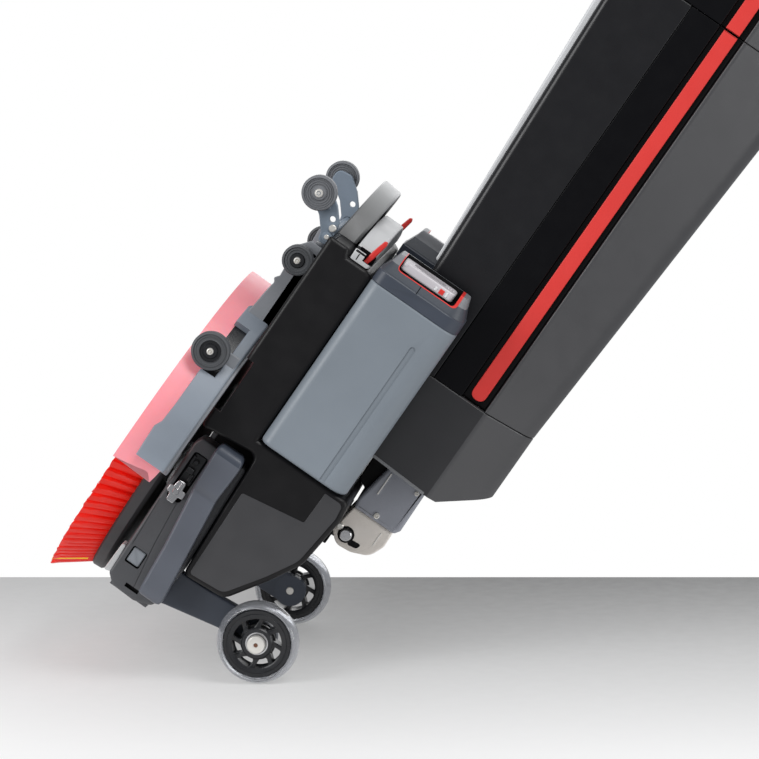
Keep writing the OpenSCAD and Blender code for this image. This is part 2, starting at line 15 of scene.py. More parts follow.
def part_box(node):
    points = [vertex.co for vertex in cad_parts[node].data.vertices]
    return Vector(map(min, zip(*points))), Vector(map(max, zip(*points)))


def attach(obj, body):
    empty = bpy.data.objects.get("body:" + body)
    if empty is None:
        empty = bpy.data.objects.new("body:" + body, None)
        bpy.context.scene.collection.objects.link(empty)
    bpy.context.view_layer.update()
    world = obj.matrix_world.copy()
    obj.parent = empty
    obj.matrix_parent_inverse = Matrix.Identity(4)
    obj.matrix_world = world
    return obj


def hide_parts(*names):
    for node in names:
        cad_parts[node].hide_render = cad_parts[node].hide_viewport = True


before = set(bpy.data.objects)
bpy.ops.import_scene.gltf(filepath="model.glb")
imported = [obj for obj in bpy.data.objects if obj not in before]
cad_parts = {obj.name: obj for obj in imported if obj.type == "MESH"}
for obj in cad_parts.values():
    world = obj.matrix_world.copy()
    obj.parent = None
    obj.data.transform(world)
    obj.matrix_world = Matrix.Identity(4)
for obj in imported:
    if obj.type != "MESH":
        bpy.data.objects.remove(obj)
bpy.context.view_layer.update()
random.seed(7)

MM = 0.001
AXLE_Y = sum(c.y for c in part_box("transport_hub_right")) / 2
AXLE_Z = sum(c.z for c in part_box("transport_hub_right")) / 2 / MM
BRUSH_Y = (sum(c.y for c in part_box("brush_block")) / 2 - AXLE_Y) / MM
AXLE = (0, 0, AXLE_Z)
SIDES = ((-1, "right"), (1, "left"))


def at(x, y, z):
    return Vector((x * MM, AXLE_Y + y * MM, z * MM))


# ---------- materials ----------

SMEAR_SCALE = 55        # of the uneven gloss, per metre
GRAIN_HEIGHT = 0.0004   # metres
EDGE = (0.52, 0.62)     # pointiness where wear starts and is complete
WORN_SHADE = 1.7


def linear(code):
    """Linear colour of a hex code."""
    out = []
    for k in (1, 3, 5):
        c = int(code[k:k + 2], 16) / 255
        out.append(c / 12.92 if c <= 0.04045 else ((c + 0.055) / 1.055) ** 2.4)
    return (*out, 1.0)


def node(nt, kind, **values):
    n = nt.nodes.new(kind)
    for key, value in values.items():
        setattr(n, key, value)
    return n


def fill(n, values):
    """Sets the node's sockets to constants."""
    for key, value in values.items():
        n.inputs[key].default_value = value


def noise(nt, coords, scale, detail=2.0):
    n = node(nt, "ShaderNodeTexNoise")
    fill(n, {"Scale": scale, "Detail": detail})
    nt.links.new(coords, n.inputs["Vector"])
    return n.outputs["Fac"]


def ranged(nt, value, lo, hi, low=0.3, high=0.7):
    """The value's range from low to high, stretched to lo and hi."""
    n = node(nt, "ShaderNodeMapRange")
    fill(n, {"From Min": low, "From Max": high, "To Min": lo, "To Max": hi})
    nt.links.new(value, n.inputs["Value"])
    return n.outputs["Result"]


def mixed(nt, fac, a, b):
    n = node(nt, "ShaderNodeMix", data_type="RGBA")
    nt.links.new(fac, n.inputs["Factor"])
    for socket, value in ((n.inputs["A"], a), (n.inputs["B"], b)):
        if isinstance(value, tuple):
            socket.default_value = value
        else:
            nt.links.new(value, socket)
    return n.outputs["Result"]


def blended(nt, a, b, fac):
    """The shader a, giving way to b by a constant or a socket."""
    n = node(nt, "ShaderNodeMixShader")
    if isinstance(fac, float):
        n.inputs["Fac"].default_value = fac
    else:
        nt.links.new(fac, n.inputs["Fac"])
    nt.links.new(a, n.inputs[1])
    nt.links.new(b, n.inputs[2])
    return n.outputs["Shader"]


def shade(colour, k):
    return (*(min(1.0, c * k) for c in colour[:3]), 1.0)


def shader(name):
    """A new material, its node tree and its Principled shader."""
    m = bpy.data.materials.new(name)
    m.use_nodes = True
    return m, m.node_tree, m.node_tree.nodes["Principled BSDF"]


def finish(name, code, rough=0.45, metal=0.0, vary=0.07, wear=0.35, grain=1400, bump=0.12, drift=18,
           stretch=None, coat=0.0, transmission=0.0, subsurface=0.0, specular=0.5, painted_glow=0.0):
    """A moulded, painted or metal surface: drifting colour, worn edges, uneven gloss, a fine grain and an
    optional painted glow.
    """
    m, nt, b = shader(name)
    colour = linear(code)
    fill(b, {"Metallic": metal, "Coat Weight": coat, "Coat Roughness": 0.12,
        "Transmission Weight": transmission, "Subsurface Weight": subsurface, "Subsurface Scale": 0.004,
        "Specular IOR Level": specular, "Emission Color": colour, "Emission Strength": painted_glow})
    coords = node(nt, "ShaderNodeTexCoord").outputs["Object"]
    if stretch:
        mapping = node(nt, "ShaderNodeMapping")
        fill(mapping, {"Scale": stretch})
        nt.links.new(coords, mapping.inputs["Vector"])
        coords = mapping.outputs["Vector"]
    slow = noise(nt, coords, drift, 3.0)
    base = mixed(nt, ranged(nt, slow, 0, 1), shade(colour, 1 - vary), shade(colour, 1 + vary))
    edges = node(nt, "ShaderNodeNewGeometry").outputs["Pointiness"]
    worn = ranged(nt, edges, 0, wear, *EDGE)
    base = mixed(nt, worn, base, shade(colour, WORN_SHADE))
    nt.links.new(base, b.inputs["Base Color"])
    smear = noise(nt, coords, SMEAR_SCALE, 4.0)
    nt.links.new(ranged(nt, smear, max(0.04, rough - 0.06), rough + 0.07), b.inputs["Roughness"])
    fine = noise(nt, coords, grain, 2.0)
    bumps = node(nt, "ShaderNodeBump")
    fill(bumps, {"Strength": bump, "Distance": GRAIN_HEIGHT})
    nt.links.new(fine, bumps.inputs["Height"])
    nt.links.new(bumps.outputs["Normal"], b.inputs["Normal"])
    return m


M = {
    "hood": finish("hood_black", "#0d0c0e", 0.4, wear=0.3, bump=0.15, specular=0.32),
    # a grey copy of the black hood plastic: painted reflection on the hood's sides
    "hood_painted_reflection": finish("hood_painted_reflection", "#3c3c3e", 0.34, wear=0.15, bump=0.08),
    # near black: the colour of some dark parts, and painted shade in pockets, slits, the stripe grooves and
    # the battery well
    "deep": finish("black_and_painted_shade", "#08080a", 0.6, wear=0.1, specular=0.2),
    "frame": finish("frame_grey", "#4c4d50", 0.42, bump=0.15),
    "slate": finish("slate_plastic", "#585c65", 0.36, bump=0.12),
    "battery": finish("battery_plastic", "#7c848c", 0.4, vary=0.04, bump=0.1),
    "cap_dark": finish("cap_slate", "#3b414c", 0.42),
    # lighter copies of the cap plastic for its facets and rear face: painted light
    "cap_lit_facets": finish("cap_facets", "#40454d", 0.4),
    "cap_highlight": finish("cap_face", "#7b7d81", 0.42),
    "handle": finish("handle_grey", "#c6c2c6", 0.36),
    "red": finish("red_plastic", "#d6322d", 0.34, vary=0.05, wear=0.2),
    "stripe": finish("stripe_red", "#e03a35", 0.42, vary=0.03, wear=0.1, bump=0.06),
    "tower_side": finish("tower_satin", "#09090c", 0.34, vary=0.05, wear=0.3, bump=0.1, specular=0.14),
    # a lighter copy of the black tower plastic for the rear tank: painted sheen
    "tower_rear": finish("tower_rear_painted_sheen", "#141417", 0.3, vary=0.05, wear=0.3, bump=0.1, specular=0.4),
    # a grey copy of the black tower plastic for the front chamfer and top: painted light
    "tower_front": finish("tower_chamfer_painted_light", "#474749", 0.36, vary=0.04, wear=0.2, bump=0.1),
    "tower_base": finish("tower_base_grey", "#2e2e30", 0.34, vary=0.05, wear=0.2, bump=0.1),
    "lip": finish("lip_grey", "#6b6c6e", 0.35),
    "panel": finish("panel_light", "#d8d9db", 0.4),
    "arm": finish("squeegee_blue_grey", "#7f8791", 0.42),
    # a lighter copy of the arm plastic for the frame, making up for faces turned from the lamps: painted
    # light
    "arm_painted_light": finish("squeegee_grey_painted_light", "#85888d", 0.45),
    # pink urethane blade with a faint painted glow
    "blade": finish("blade_urethane", "#ff9ba4", 0.34, vary=0.08, wear=0.0, grain=500, bump=0.08,
                    subsurface=0.3, painted_glow=0.06),
    "block": finish("brush_block", "#3a393b", 0.5),
    "rubber": finish("wheel_rubber", "#4e5053", 0.55, bump=0.25),
    "rubber_grey": finish("rear_wheel_rubber", "#6d6f73", 0.5, bump=0.2),
    "hub_grey": finish("wheel_hub_grey", "#7d8288", 0.45),
    "hub": finish("wheel_hub_black", "#1b1c1f", 0.28, bump=0.1),
    "bracket": finish("bracket_blue_grey", "#76828f", 0.42),
    "steel": finish("steel", "#c9c9cb", 0.24, metal=1.0, vary=0.08, wear=0.1, bump=0.06),
    "bolt": finish("bolt_plated", "#e6e3dc", 0.34, metal=0.55, vary=0.08, bump=0.1),
    "plug": finish("bolt_socket", "#6b4631", 0.6),
    "casting": finish("cast_aluminium", "#f3ebe2", 0.5, metal=0.1, vary=0.12, grain=700, bump=0.35),
    "neck": finish("slate_casting", "#9b9ea7", 0.45, metal=0.1, vary=0.12, grain=700, bump=0.3),
    "motor": finish("motor_steel", "#8c8f92", 0.4, metal=0.8, stretch=(1, 1, 8)),
    "gear": finish("gearbox_cast", "#6d7073", 0.5, metal=0.5, grain=700, bump=0.35),
    "housing": finish("housing_light", "#bbbcbd", 0.4),
    "cell": finish("cell_wrap", "#5f86b5", 0.4, vary=0.1),
    "tube": finish("tube_paint", "#26272a", 0.34, stretch=(1, 3, 1)),
    "grip": finish("grip_foam", "#2f3033", 0.75, grain=600, bump=0.6),
    "glass": finish("display_glass", "#11161a", 0.12, coat=0.6, bump=0.02, wear=0.0),
    "lamp_green": finish("indicator_green", "#46b96a", 0.3),
    "lamp_amber": finish("indicator_amber", "#d9a13c", 0.3),
    # yellow bristles with a painted glow
    "yellow": finish("bristle_yellow", "#ffc918", 0.5, vary=0.1, painted_glow=0.25),
}


def loop_with_painted_shade():
    """Light grey moulding with painted shade that darkens it towards its two ends."""
    m = finish("rear_handle_grey_painted_shade", "#bcbdbd", 0.34, bump=0.08)
    nt = m.node_tree
    base = nt.nodes["Principled BSDF"].inputs["Base Color"]
    split = node(nt, "ShaderNodeSeparateXYZ")
    nt.links.new(node(nt, "ShaderNodeTexCoord").outputs["Object"], split.inputs["Vector"])
    width = node(nt, "ShaderNodeMath", operation="ABSOLUTE")
    nt.links.new(split.outputs["X"], width.inputs[0])
    # painted shade: the grey is mixed towards dark grey away from the loop's middle
    ends = ranged(nt, width.outputs["Value"], 0, 1, 0.02, 0.1)
    nt.links.new(mixed(nt, ends, base.links[0].from_socket, linear("#333435")), base)
    return m


M["loop"] = loop_with_painted_shade()
# Red monofilament: streaks along the fibre, tufts that differ a little, and a painted glow.
M["bristle"] = finish("bristle_red", "#ff2a1c", 0.4, vary=0.16, wear=0.0, grain=2600, bump=0.4, drift=120,
                      stretch=(1, 1, 0.12), subsurface=0.2, painted_glow=0.12)
# Clear cast polyurethane with faint haze and small swirls.
M["clear"] = finish("clear_urethane", "#d9dbe0", 0.1, vary=0.04, wear=0.0, grain=300, bump=0.03, drift=60,
                    transmission=0.85)
fill(M["clear"].node_tree.nodes["Principled BSDF"], {"IOR": 1.42})

# ---------- mesh tools ----------


def fillet(corners, steps=5):
    """An outline with rounded corners, from (u, v, radius) corners."""
    out = []
    for i, (u, v, r) in enumerate(corners):
        p = Vector((u, v))
        if r <= 0:
            out.append((u, v))
            continue
        a = Vector(corners[i - 1][:2]) - p
        b = Vector(corners[(i + 1) % len(corners)][:2]) - p
        half = a.angle(b) / 2
        reach = min(r / math.tan(half), a.length * 0.48, b.length * 0.48)
        r = reach * math.tan(half)
        a.normalize()
        b.normalize()
        c = p + (a + b).normalized() * (r / math.sin(half))
        s, e = p + a * reach - c, p + b * reach - c
        start = math.atan2(s.y, s.x)
        turn = (math.atan2(e.y, e.x) - start + math.pi) % (2 * math.pi) - math.pi
        for k in range(steps + 1):
            t = start + turn * k / steps
            out.append((c.x + r * math.cos(t), c.y + r * math.sin(t)))
    return out


def anticlockwise(outline):
    area = sum(a[0] * b[1] - b[0] * a[1] for a, b in zip(outline, outline[1:] + outline[:1]))
    return list(outline) if area > 0 else list(reversed(outline))


def rounded(corners, steps=5):
    return anticlockwise(fillet(corners, steps))


def rect(u0, v0, u1, v1, r, far_r=None, steps=5):
    """A rectangle whose corners are rounded by r, or by far_r on the side of v1."""
    far_r = r if far_r is None else far_r
    return fillet([(u0, v0, r), (u1, v0, r), (u1, v1, far_r), (u0, v1, far_r)], steps)


def both_halves(half):
    """A rounded outline from the corners of its -x half and their mirror images."""
    return rounded(half + [(-x, z, r) for x, z, r in reversed(half)], 6)


def inset(outline, d):
    """The anticlockwise outline pulled inwards by d."""
    out = []
    for i, point in enumerate(outline):
        b = Vector(point)
        p = (b - Vector(outline[i - 1])).normalized()
        q = (Vector(outline[(i + 1) % len(outline)]) - b).normalized()
        m = Vector((-(p.y + q.y), p.x + q.x)).normalized()
        k = max(0.35, m.dot(Vector((-p.y, p.x))))
        out.append((b.x + m.x * d / k, b.y + m.y * d / k))
    return out


PUT = {
    "x": lambda a, u, v: (a, u, v),
    "y": lambda a, u, v: (u, a, v),
    "z": lambda a, u, v: (u, v, a),
}


def skin(rings, cap=True, ring_closed=True, around=False):
    """A bmesh through rings of (x, y, z) points with equal counts."""
    bm = bmesh.new()
    rows = [[bm.verts.new(at(*p)) for p in ring] for ring in rings]
    count = len(rows[0])
    pairs = list(zip(rows, rows[1:])) + ([(rows[-1], rows[0])] if around else [])
    for a, b in pairs:
        for i in range(count if ring_closed else count - 1):
            j = (i + 1) % count
            bm.faces.new((a[i], a[j], b[j], b[i]))
    if cap:
        bm.faces.new(rows[0])
        bm.faces.new(rows[-1])
    bmesh.ops.remove_doubles(bm, verts=bm.verts, dist=1e-6)
    bmesh.ops.recalc_face_normals(bm, faces=bm.faces)
    return bm


def rim_stations(r, steps):
    """(distance from the end, inset) stations of a rounded rim, from the end inwards."""
    turns = [math.pi / 2 * k / steps for k in range(steps, -1, -1)] if r else [0]
    return [(r * (1 - math.sin(t)), r * (1 - math.cos(t))) for t in turns]


def prism(outline, lo, hi, axis="x", r_lo=0.0, r_hi=None, steps=3):
    """An outline pushed from lo to hi along an axis, with rounded rims at both ends."""
    outline = anticlockwise(outline)
    r_hi = r_lo if r_hi is None else r_hi
    stations = [(lo + a, d) for a, d in rim_stations(r_lo, steps)]
    stations += [(hi - a, d) for a, d in reversed(rim_stations(r_hi, steps))]
    return skin([[PUT[axis](a, u, v) for u, v in inset(outline, d)] for a, d in stations])


def box(low, high, r=0.0):
    outline = rect(low[1], low[2], high[1], high[2], r, steps=3)
    return prism(outline, low[0], high[0], "x", min(r, (high[0] - low[0]) * 0.45))


def loft(stations, axis="y"):
    """A body through (position, outline) stations along an axis."""
    return skin([[PUT[axis](a, u, v) for u, v in outline] for a, outline in stations])


def cos_sin(degrees):
    """Cosine and sine of an angle in degrees."""
    return math.cos(math.radians(degrees)), math.sin(math.radians(degrees))


def revolve(profile, centre, axis="x", steps=48):
    """A closed (radius, offset) profile turned about an axis through centre."""
    rings = []
    for k in range(steps):
        c, s = math.cos(math.tau * k / steps), math.sin(math.tau * k / steps)
        ring = []
        for r, a in profile:
            u, v, w = PUT[axis](a, r * c, r * s)
            ring.append((centre[0] + u, centre[1] + v, centre[2] + w))
        rings.append(ring)
    bm = skin(rings, cap=False, around=True)
    bmesh.ops.dissolve_degenerate(bm, edges=bm.edges, dist=1e-7)
    bmesh.ops.delete(bm, geom=[e for e in bm.edges if not e.link_faces], context="EDGES")
    bmesh.ops.recalc_face_normals(bm, faces=bm.faces)
    return bm


def rod(r, lo, hi, centre, axis="x", chamfer=0.4, steps=24):
    return revolve([(0, lo), (r - chamfer, lo), (r, lo + chamfer), (r, hi - chamfer), (r - chamfer, hi),
        (0, hi)], centre, axis, steps)


def arc(centre, degrees, section, cap=True):
    """Sections of (radius, z) points carried round a vertical axis; section is called with each angle."""
    rings = []
    for d in degrees:
        c, s = cos_sin(d)
        rings.append([(centre[0] + r * c, centre[1] + r * s, z) for r, z in section(d)])
    return skin(rings, cap)


def drill(r, lo, hi, centre, axis="x", steps=32):
    """A plain cylinder that cuts a hole."""
    return rod(r, lo, hi, centre, axis, 0, steps)


def twins(x, half, low, high, r=0.0):
    """Two blocks centred on -x and x, from low to high in (y, z)."""
    return [box((s * x - half, *low), (s * x + half, *high), r) for s in (-1, 1)]


def twin_rods(r, lo, hi, centre, *shape):
    """Two cylinders along x, from lo to hi and from -hi to -lo."""
    return [rod(r, *sorted((s * lo, s * hi)), centre, *shape) for s in (-1, 1)]


def join(*parts):
    out = parts[0]
    for part in parts[1:]:
        spare = bpy.data.meshes.new("spare")
        part.to_mesh(spare)
        out.from_mesh(spare)
        bpy.data.meshes.remove(spare)
        part.free()
    return out


def linked(name, data):
    """A new object in the scene."""
    o = bpy.data.objects.new(name, data)
    bpy.context.scene.collection.objects.link(o)
    return o


def meshed(name, bm):
    """A new object made from a bmesh, which it uses up."""
    mesh = bpy.data.meshes.new(name)
    bm.to_mesh(mesh)
    bm.free()
    return linked(name, mesh)


def carve(bm, *cutters, operation="DIFFERENCE"):
    """bm with the cutters taken out of it, or what they share with it."""
    host = meshed("temporary", bm)
    tools = [meshed("temporary", c) for c in cutters]
    for tool in tools:
        m = host.modifiers.new("cut", "BOOLEAN")
        m.operation = operation
        m.solver = "EXACT"
        m.object = tool
    mesh = bpy.data.meshes.new_from_object(host.evaluated_get(bpy.context.evaluated_depsgraph_get()))
    out = bmesh.new()
    out.from_mesh(mesh)
    for o in [host, *tools]:
        spare = o.data
        bpy.data.objects.remove(o)
        bpy.data.meshes.remove(spare)
    bpy.data.meshes.remove(mesh)
    bmesh.ops.dissolve_limit(out, angle_limit=math.radians(0.4), verts=out.verts, edges=out.edges)
    return out


def clip(bm, point, normal):
    """Cuts away the side of a plane that its normal points to, and closes the cut."""
    cut = bmesh.ops.bisect_plane(bm, geom=bm.verts[:] + bm.edges[:] + bm.faces[:], plane_co=at(*point),
                                 plane_no=Vector(normal), clear_outer=True)
    edges = [g for g in cut["geom_cut"] if isinstance(g, bmesh.types.BMEdge)]
    bmesh.ops.contextual_create(bm, geom=edges)
    bmesh.ops.recalc_face_normals(bm, faces=bm.faces)
    return bm


def soften(bm, width, segments=3, angle=40):
    """Rounds the edges that turn by more than an angle."""
    edges = [e for e in bm.edges if len(e.link_faces) == 2 and e.calc_face_angle(0) > math.radians(angle)]
    if edges:
        bmesh.ops.bevel(bm, geom=edges, offset=width * MM, segments=segments, profile=0.5, affect="EDGES",
                        clamp_overlap=True)
    return bm


def mirrored(bm):
    for v in bm.verts:
        v.co.x = -v.co.x
    bmesh.ops.reverse_faces(bm, faces=bm.faces)
    return bm


def piece(bm, name, body, slot, *materials, replaces="", sharp=38, choose=None):
    """Makes the object and rides it on its body.

    replaces is a CAD node, or True for the node of the same name.
    choose picks a material from a face's centre.
    """
    if choose:
        for f in bm.faces:
            c = f.calc_center_median()
            f.material_index = choose(c.x / MM, (c.y - AXLE_Y) / MM, c.z / MM)
    o = meshed(name, bm)
    mesh = o.data
    for m in materials:
        mesh.materials.append(M[m])
    mesh.polygons.foreach_set("use_smooth", [True] * len(mesh.polygons))
    mesh.set_sharp_from_angle(angle=math.radians(sharp))
    normals = o.modifiers.new("normals", "WEIGHTED_NORMAL")
    normals.keep_sharp = True
    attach(o, body)
    if replaces:
        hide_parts(name if replaces is True else replaces)
    return o


def pair(build, name, body, slot, *materials, replaces="", sharp=38, choose=None):
    """The right piece and its mirror image on the left. Braces in names stand for the side."""
    for side, word in SIDES:
        bm = build()
        if side > 0:
            bm = mirrored(bm)
        pick = (lambda x, y, z, s=side: choose(-s * x, y, z)) if choose else None
        piece(bm, f"{name}_{word}", body.format(word), slot, *materials,
              replaces=replaces is True or replaces.format(word), sharp=sharp, choose=pick)


# ---------- deck ----------


def hood_outline(i, low):
    """The hood's side outline, pulled in by i, down to the height low."""
    return rounded([
        (14 + i, 116 + i / 2, 6), (17 + i, 162 - i, 14), (57 + i, 188 - i, 44), (88 + i, 205 - i, 30),
        (143, 211 - i, 16), (163 - i, 208 - i, 6), (163 - i, 104 - i, 1), (352 - i, 104 - i, 4),
        (355 - i, 98 - i, 4), (355 - i, 75.5 - i, 2), (363 - i, 72 - i, 3), (363 - i, low, 2),
        (143 + i, low, 4), (150 + i, 110 + i / 2, 8),
    ])


def make_hood():
    near_end = rim_stations(4.5, 5)
    stations = [(a - 150, d) for a, d in near_end] + [(150 - a, d) for a, d in reversed(near_end)]
    body = loft([(x, hood_outline(d, 50 + d)) for x, d in stations], "x")
    cavity = loft([(x, hood_outline(3.2, 34)) for x in (-146.5, 146.5)], "x")
    neck_slot = prism(rect(-27, 96, 27, 130, 5, steps=3), 185, 215, "z")
    belly = box((-146.5, 20, 100), (146.5, 149, 125))
    back = box((-113, 140, 40), (113, 160, 125))
    arches = box((-160, 165, 40), (160, 222, 58.5))
    gap = box((-147, 356, 40), (147, 370, 57))
    piece(carve(body, cavity, neck_slot, belly, back, arches, gap), "hood", "deck", "black_gloss", "hood",
          replaces=True)
    # Lighter grey side panels: a painted reflection on the black hood.
    panel = fillet([
        (19, 121, 3), (22, 158, 12), (59, 183, 44), (89, 200, 30), (143, 206, 12), (158, 204, 5),
        (158, 184, 1), (123, 183.3, 2), (112.6, 119, 2),
    ])
    pair(lambda: prism(panel, -150.5, -149, "x", 0.4, 0, 2), "hood_reflection_panel", "deck", "black_gloss",
        "hood_painted_reflection")
    rim = rect(33, 92, -33, 134, 6, steps=3)
    ring = carve(prism(rim, 209.2, 212.2, "z", 0.8),
                 prism(rect(-27.5, 97, 27.5, 129.5, 5, steps=3), 205, 215, "z"))
    piece(ring, "neck_slot_rim", "deck", "dark_plastic", "deep")


make_hood()


def side_frame():
    plate = prism(fillet([
        (-28, 56, 7), (-37, 66, 7), (-38, 91, 9), (-32, 108, 6), (-24, 112, 4), (14, 115, 4), (130, 110, 4),
        (132, 58, 4), (124, 54, 4),
    ]), -138, -112, "x", 3, 1)
    groove = fillet([
        (-27, 84.9, 0), (20, 77.7, 0), (66, 73.2, 0), (66, 72.4, 0), (20, 76.8, 0), (-27, 84, 0),
    ])
    lower = fillet([(8, 60.2, 0), (60, 57.4, 0), (60, 56.6, 0), (8, 59.4, 0)])
    latch_pocket = prism(rect(66, 59.5, 118, 75, 3, steps=3), -140, -128)
    button_pocket = prism(rect(-10, 62, 8, 78, 2, steps=3), -140, -126)
    slot = box((-140, -30.5, 76), (-133, -26.5, 91))
    stem = box((-130, -4, 67), (-108, 2, 73))
    hollow = box((-132, 20, 79), (-110, 110, 98))
    return carve(plate, prism(groove, -140, -137.2), prism(lower, -140, -137.2), latch_pocket, button_pocket,
                 slot, stem, hollow)


def wheel_arm():
    arm = prism(fillet([
        (-32, 100, 1), (-27, 118, 10), (-16, 172, 20), (-15, 206, 14), (-6, 226, 12), (6, 226, 12),
        (15, 206, 14), (11, 162, 20), (9, 118, 8), (11, 100, 1),
    ]), -124, -112.2, "x", 2.5, 1)
    boss = revolve([(4.2, -126), (13, -126), (15.5, -124.5), (16, -122), (16, -112), (4.2, -112)],
                   AXLE, "x", 40)
    return join(carve(arm, drill(4.2, -130, -105, AXLE, steps=24)), boss)


def side_frame_painted_shade(x, y, z):
    """Painted shade inside the latch's pocket, the button's pocket and the slot."""
    pocket = (64 < y < 120 and z < 77) or (-12 < y < 10 and 60 < z < 80) or -32 < y < -25
    return 1 if pocket and -136.5 < x < -124 and 58 < z < 92 else 0


pair(side_frame, "side_frame", "deck", "dark_plastic", "frame", "deep", replaces=True,
    choose=side_frame_painted_shade)
pair(wheel_arm, "wheel_arm", "deck", "dark_plastic", "cap_dark")


def side_bar():
    rows = [(-24, 92.4, 108, -150), (-23.6, 91.6, 111, -155), (-21.5, 90.6, 114, -158.6),
        (-18, 90, 115.2, -159.8), (-10, 89.2, 114.4, -160), (30, 86, 110.2, -160), (76, 80.1, 105.3, -160),
        (84, 78.8, 104.2, -159.6), (88.5, 78, 103.6, -158), (91, 77.6, 103.4, -157.2),
        (93.5, 77.3, 103.4, -158.4), (98, 77, 103.6, -159.8), (104, 76.6, 103.9, -160),
        (124, 75.5, 104.8, -160), (132, 75.2, 104.8, -159.6), (136.5, 75.6, 104, -158.4),
        (139.4, 76.8, 102.4, -155.5), (140.8, 78.6, 100.4, -150), (141, 80, 99, -144)]
    stations = []
    for y, z0, z1, x in rows:
        stations.append((y, fillet([(-138.2, z0, 0), (x, z0, 3.5), (x, z1, 2.2), (-138.2, z1, 0)], 5)))
    return loft(stations)


pair(side_bar, "side_bar", "deck", "slate_plastic", "slate", "cap_dark", replaces=True, sharp=50,
     choose=lambda x, y, z: 1 if y > 134 else 0)


def latch():
    cross = fillet([
        (71.4, 75.6, 1.4), (78.4, 75.6, 1.4), (79, 71, 1), (86.8, 70.4, 1.8), (86.8, 62.4, 1.8), (79, 61, 1),
        (78.4, 57.2, 1.4), (71.4, 57.2, 1.4), (71, 61, 1), (63.2, 62, 1.8), (63.2, 70, 1.8), (71, 71, 1),
    ], 3)
    return join(prism(cross, -141, -138.3, "x", 0.9, 0.3), rod(5, -138.5, -129, (0, 75, 66)),
                rod(3.2, -141.6, -140.6, (0, 75, 66)), box((-141.4, 76, 66), (-140.4, 86, 68.6), 0.4))


def latch_works():
    return join(box((-132, 84, 61), (-128.2, 116, 73.5), 0.8), box((-136, 88, 68), (-131, 96, 72), 0.8),
                box((-137, 96, 62), (-131, 101, 70), 0.8), rod(2.4, -136.5, -131, (0, 108, 66.5)),
                box((-135, 104, 61), (-131, 113, 63.5), 0.5))


pair(latch, "latch", "squeegee_latch_{}", "latch_metal", "steel", replaces=True)
pair(latch_works, "latch_works", "deck", "dark_plastic", "hub")
pair(lambda: join(box((-136.6, -9, 63), (-128, 7, 77), 1.6),
    box((-128.6, -3.5, 67.5), (-112, 1.5, 72.5), 0.5)), "release_button", "brush_release_{}",
    "button_grey", "hub_grey", replaces=True)
pair(lambda: prism(fillet([(-29, 50.5, 1.5), (2, 51.5, 1.5), (3, 55.5, 1.5), (-27, 57, 1.5)], 3), -137,
    -118, "x", 1), "splash_strip", "deck", "light_plastic", "housing")
pair(lambda: join(box((-111.4, 22, 67.6), (-109.8, 160, 117), 0.3),
    box((-111.4, 118, 50.5), (-109.8, 142, 61.7), 0.3)), "inner_wall", "deck", "dark_plastic", "deep")


def axle_cap():
    head = revolve([(0, -156.4), (1.9, -156.4), (2.2, -158.2), (6.4, -158.4), (8.2, -157.8), (9, -156.4),
        (9, -154.2), (0, -154.2)], AXLE, "x", 40)
    return join(head, rod(4, -154.4, -112, AXLE))


pair(axle_cap, "axle_pin", "deck", "steel", "bolt", replaces="axle_pins")
pair(lambda: rod(2.1, -157.6, -156, AXLE, "x", 0.3, 16), "axle_plug", "deck", "steel", "plug")
piece(rod(6, -40, 40, (0, 113, 224), "x", 1), "neck_pin", "deck", "steel", "steel")

# ---------- rear of the deck ----------


def bowed(half_width, y0, y1, depth, r_end=0.0, d=0.0, steps=28):
    """Plan outline, pulled in by d: straight in front at y0, its back bowed out by depth beyond y1."""
    radius = (half_width ** 2 + depth ** 2) / (2 * depth)
    middle = y1 + depth - radius
    radius, half = radius - d, half_width - d
    swing = math.asin(half / radius)
    turns = [swing - 2 * swing * k / steps for k in range(steps + 1)]
    back = [(radius * math.sin(t), middle + radius * math.cos(t), 0) for t in turns]
    back[0], back[-1] = (*back[0][:2], r_end), (*back[-1][:2], r_end)
    return rounded([(-half, y0 + d, 1), (half, y0 + d, 1), *back], 4)


levels = ((76.6, 1.2), (76.9, 0.5), (77.8, 0), (94.4, 0), (95.9, 0.3), (97, 1), (97.7, 2), (98, 3.4))
upper = loft([(z, bowed(146, 355.6, 366, 22, 4, d)) for z, d in levels], "z")
lower = loft([(z, bowed(84, 363.6, 366, 17, 0, d)) for z, d in ((68, 0.8), (68.8, 0), (77, 0))], "z")
CLIP_X = 138
pockets = twins(CLIP_X, 4, (354.8, 80), (390, 99)) + twins(144, 4, (360, 88), (390, 99))
slits = twins(146, 1, (357.5, 82), (364, 83.1))


def housing_painted_shade(x, y, z):
    """Painted shade inside the toggles' pockets, along their openings and in the slits; light elsewhere."""
    pocket = 133.9 < abs(x) < 142.1
    slit = 82 < z < 83.1 and 144 < abs(x) < 145.8
    opening = 139 < abs(x) < 145.8 and (87.9 < z < 88.1 or 359.9 < y < 360.1)
    return 1 if pocket or slit or opening else 0


piece(carve(upper, *pockets, *slits), "rear_housing", "deck", "light_plastic", "housing", "deep",
      replaces=True, choose=housing_painted_shade)
piece(lower, "rear_housing_foot", "deck", "light_plastic", "deep")

LOOP_Y, LIP_Y = 303, 363.4


def loop_section(_):
    return rounded([(109, 52, 1.5), (116, 52, 2), (116, 73, 3.2), (109, 73, 2)], 4)


def tipped(bm):
    """Leans the loop up to the rear about the lip of the hood."""
    lip = at(0, 363, 52)
    turn = Matrix.Translation(lip) @ Matrix.Rotation(math.radians(6), 4, "X") @ Matrix.Translation(-lip)
    bmesh.ops.transform(bm, matrix=turn, verts=bm.verts)
    return bm


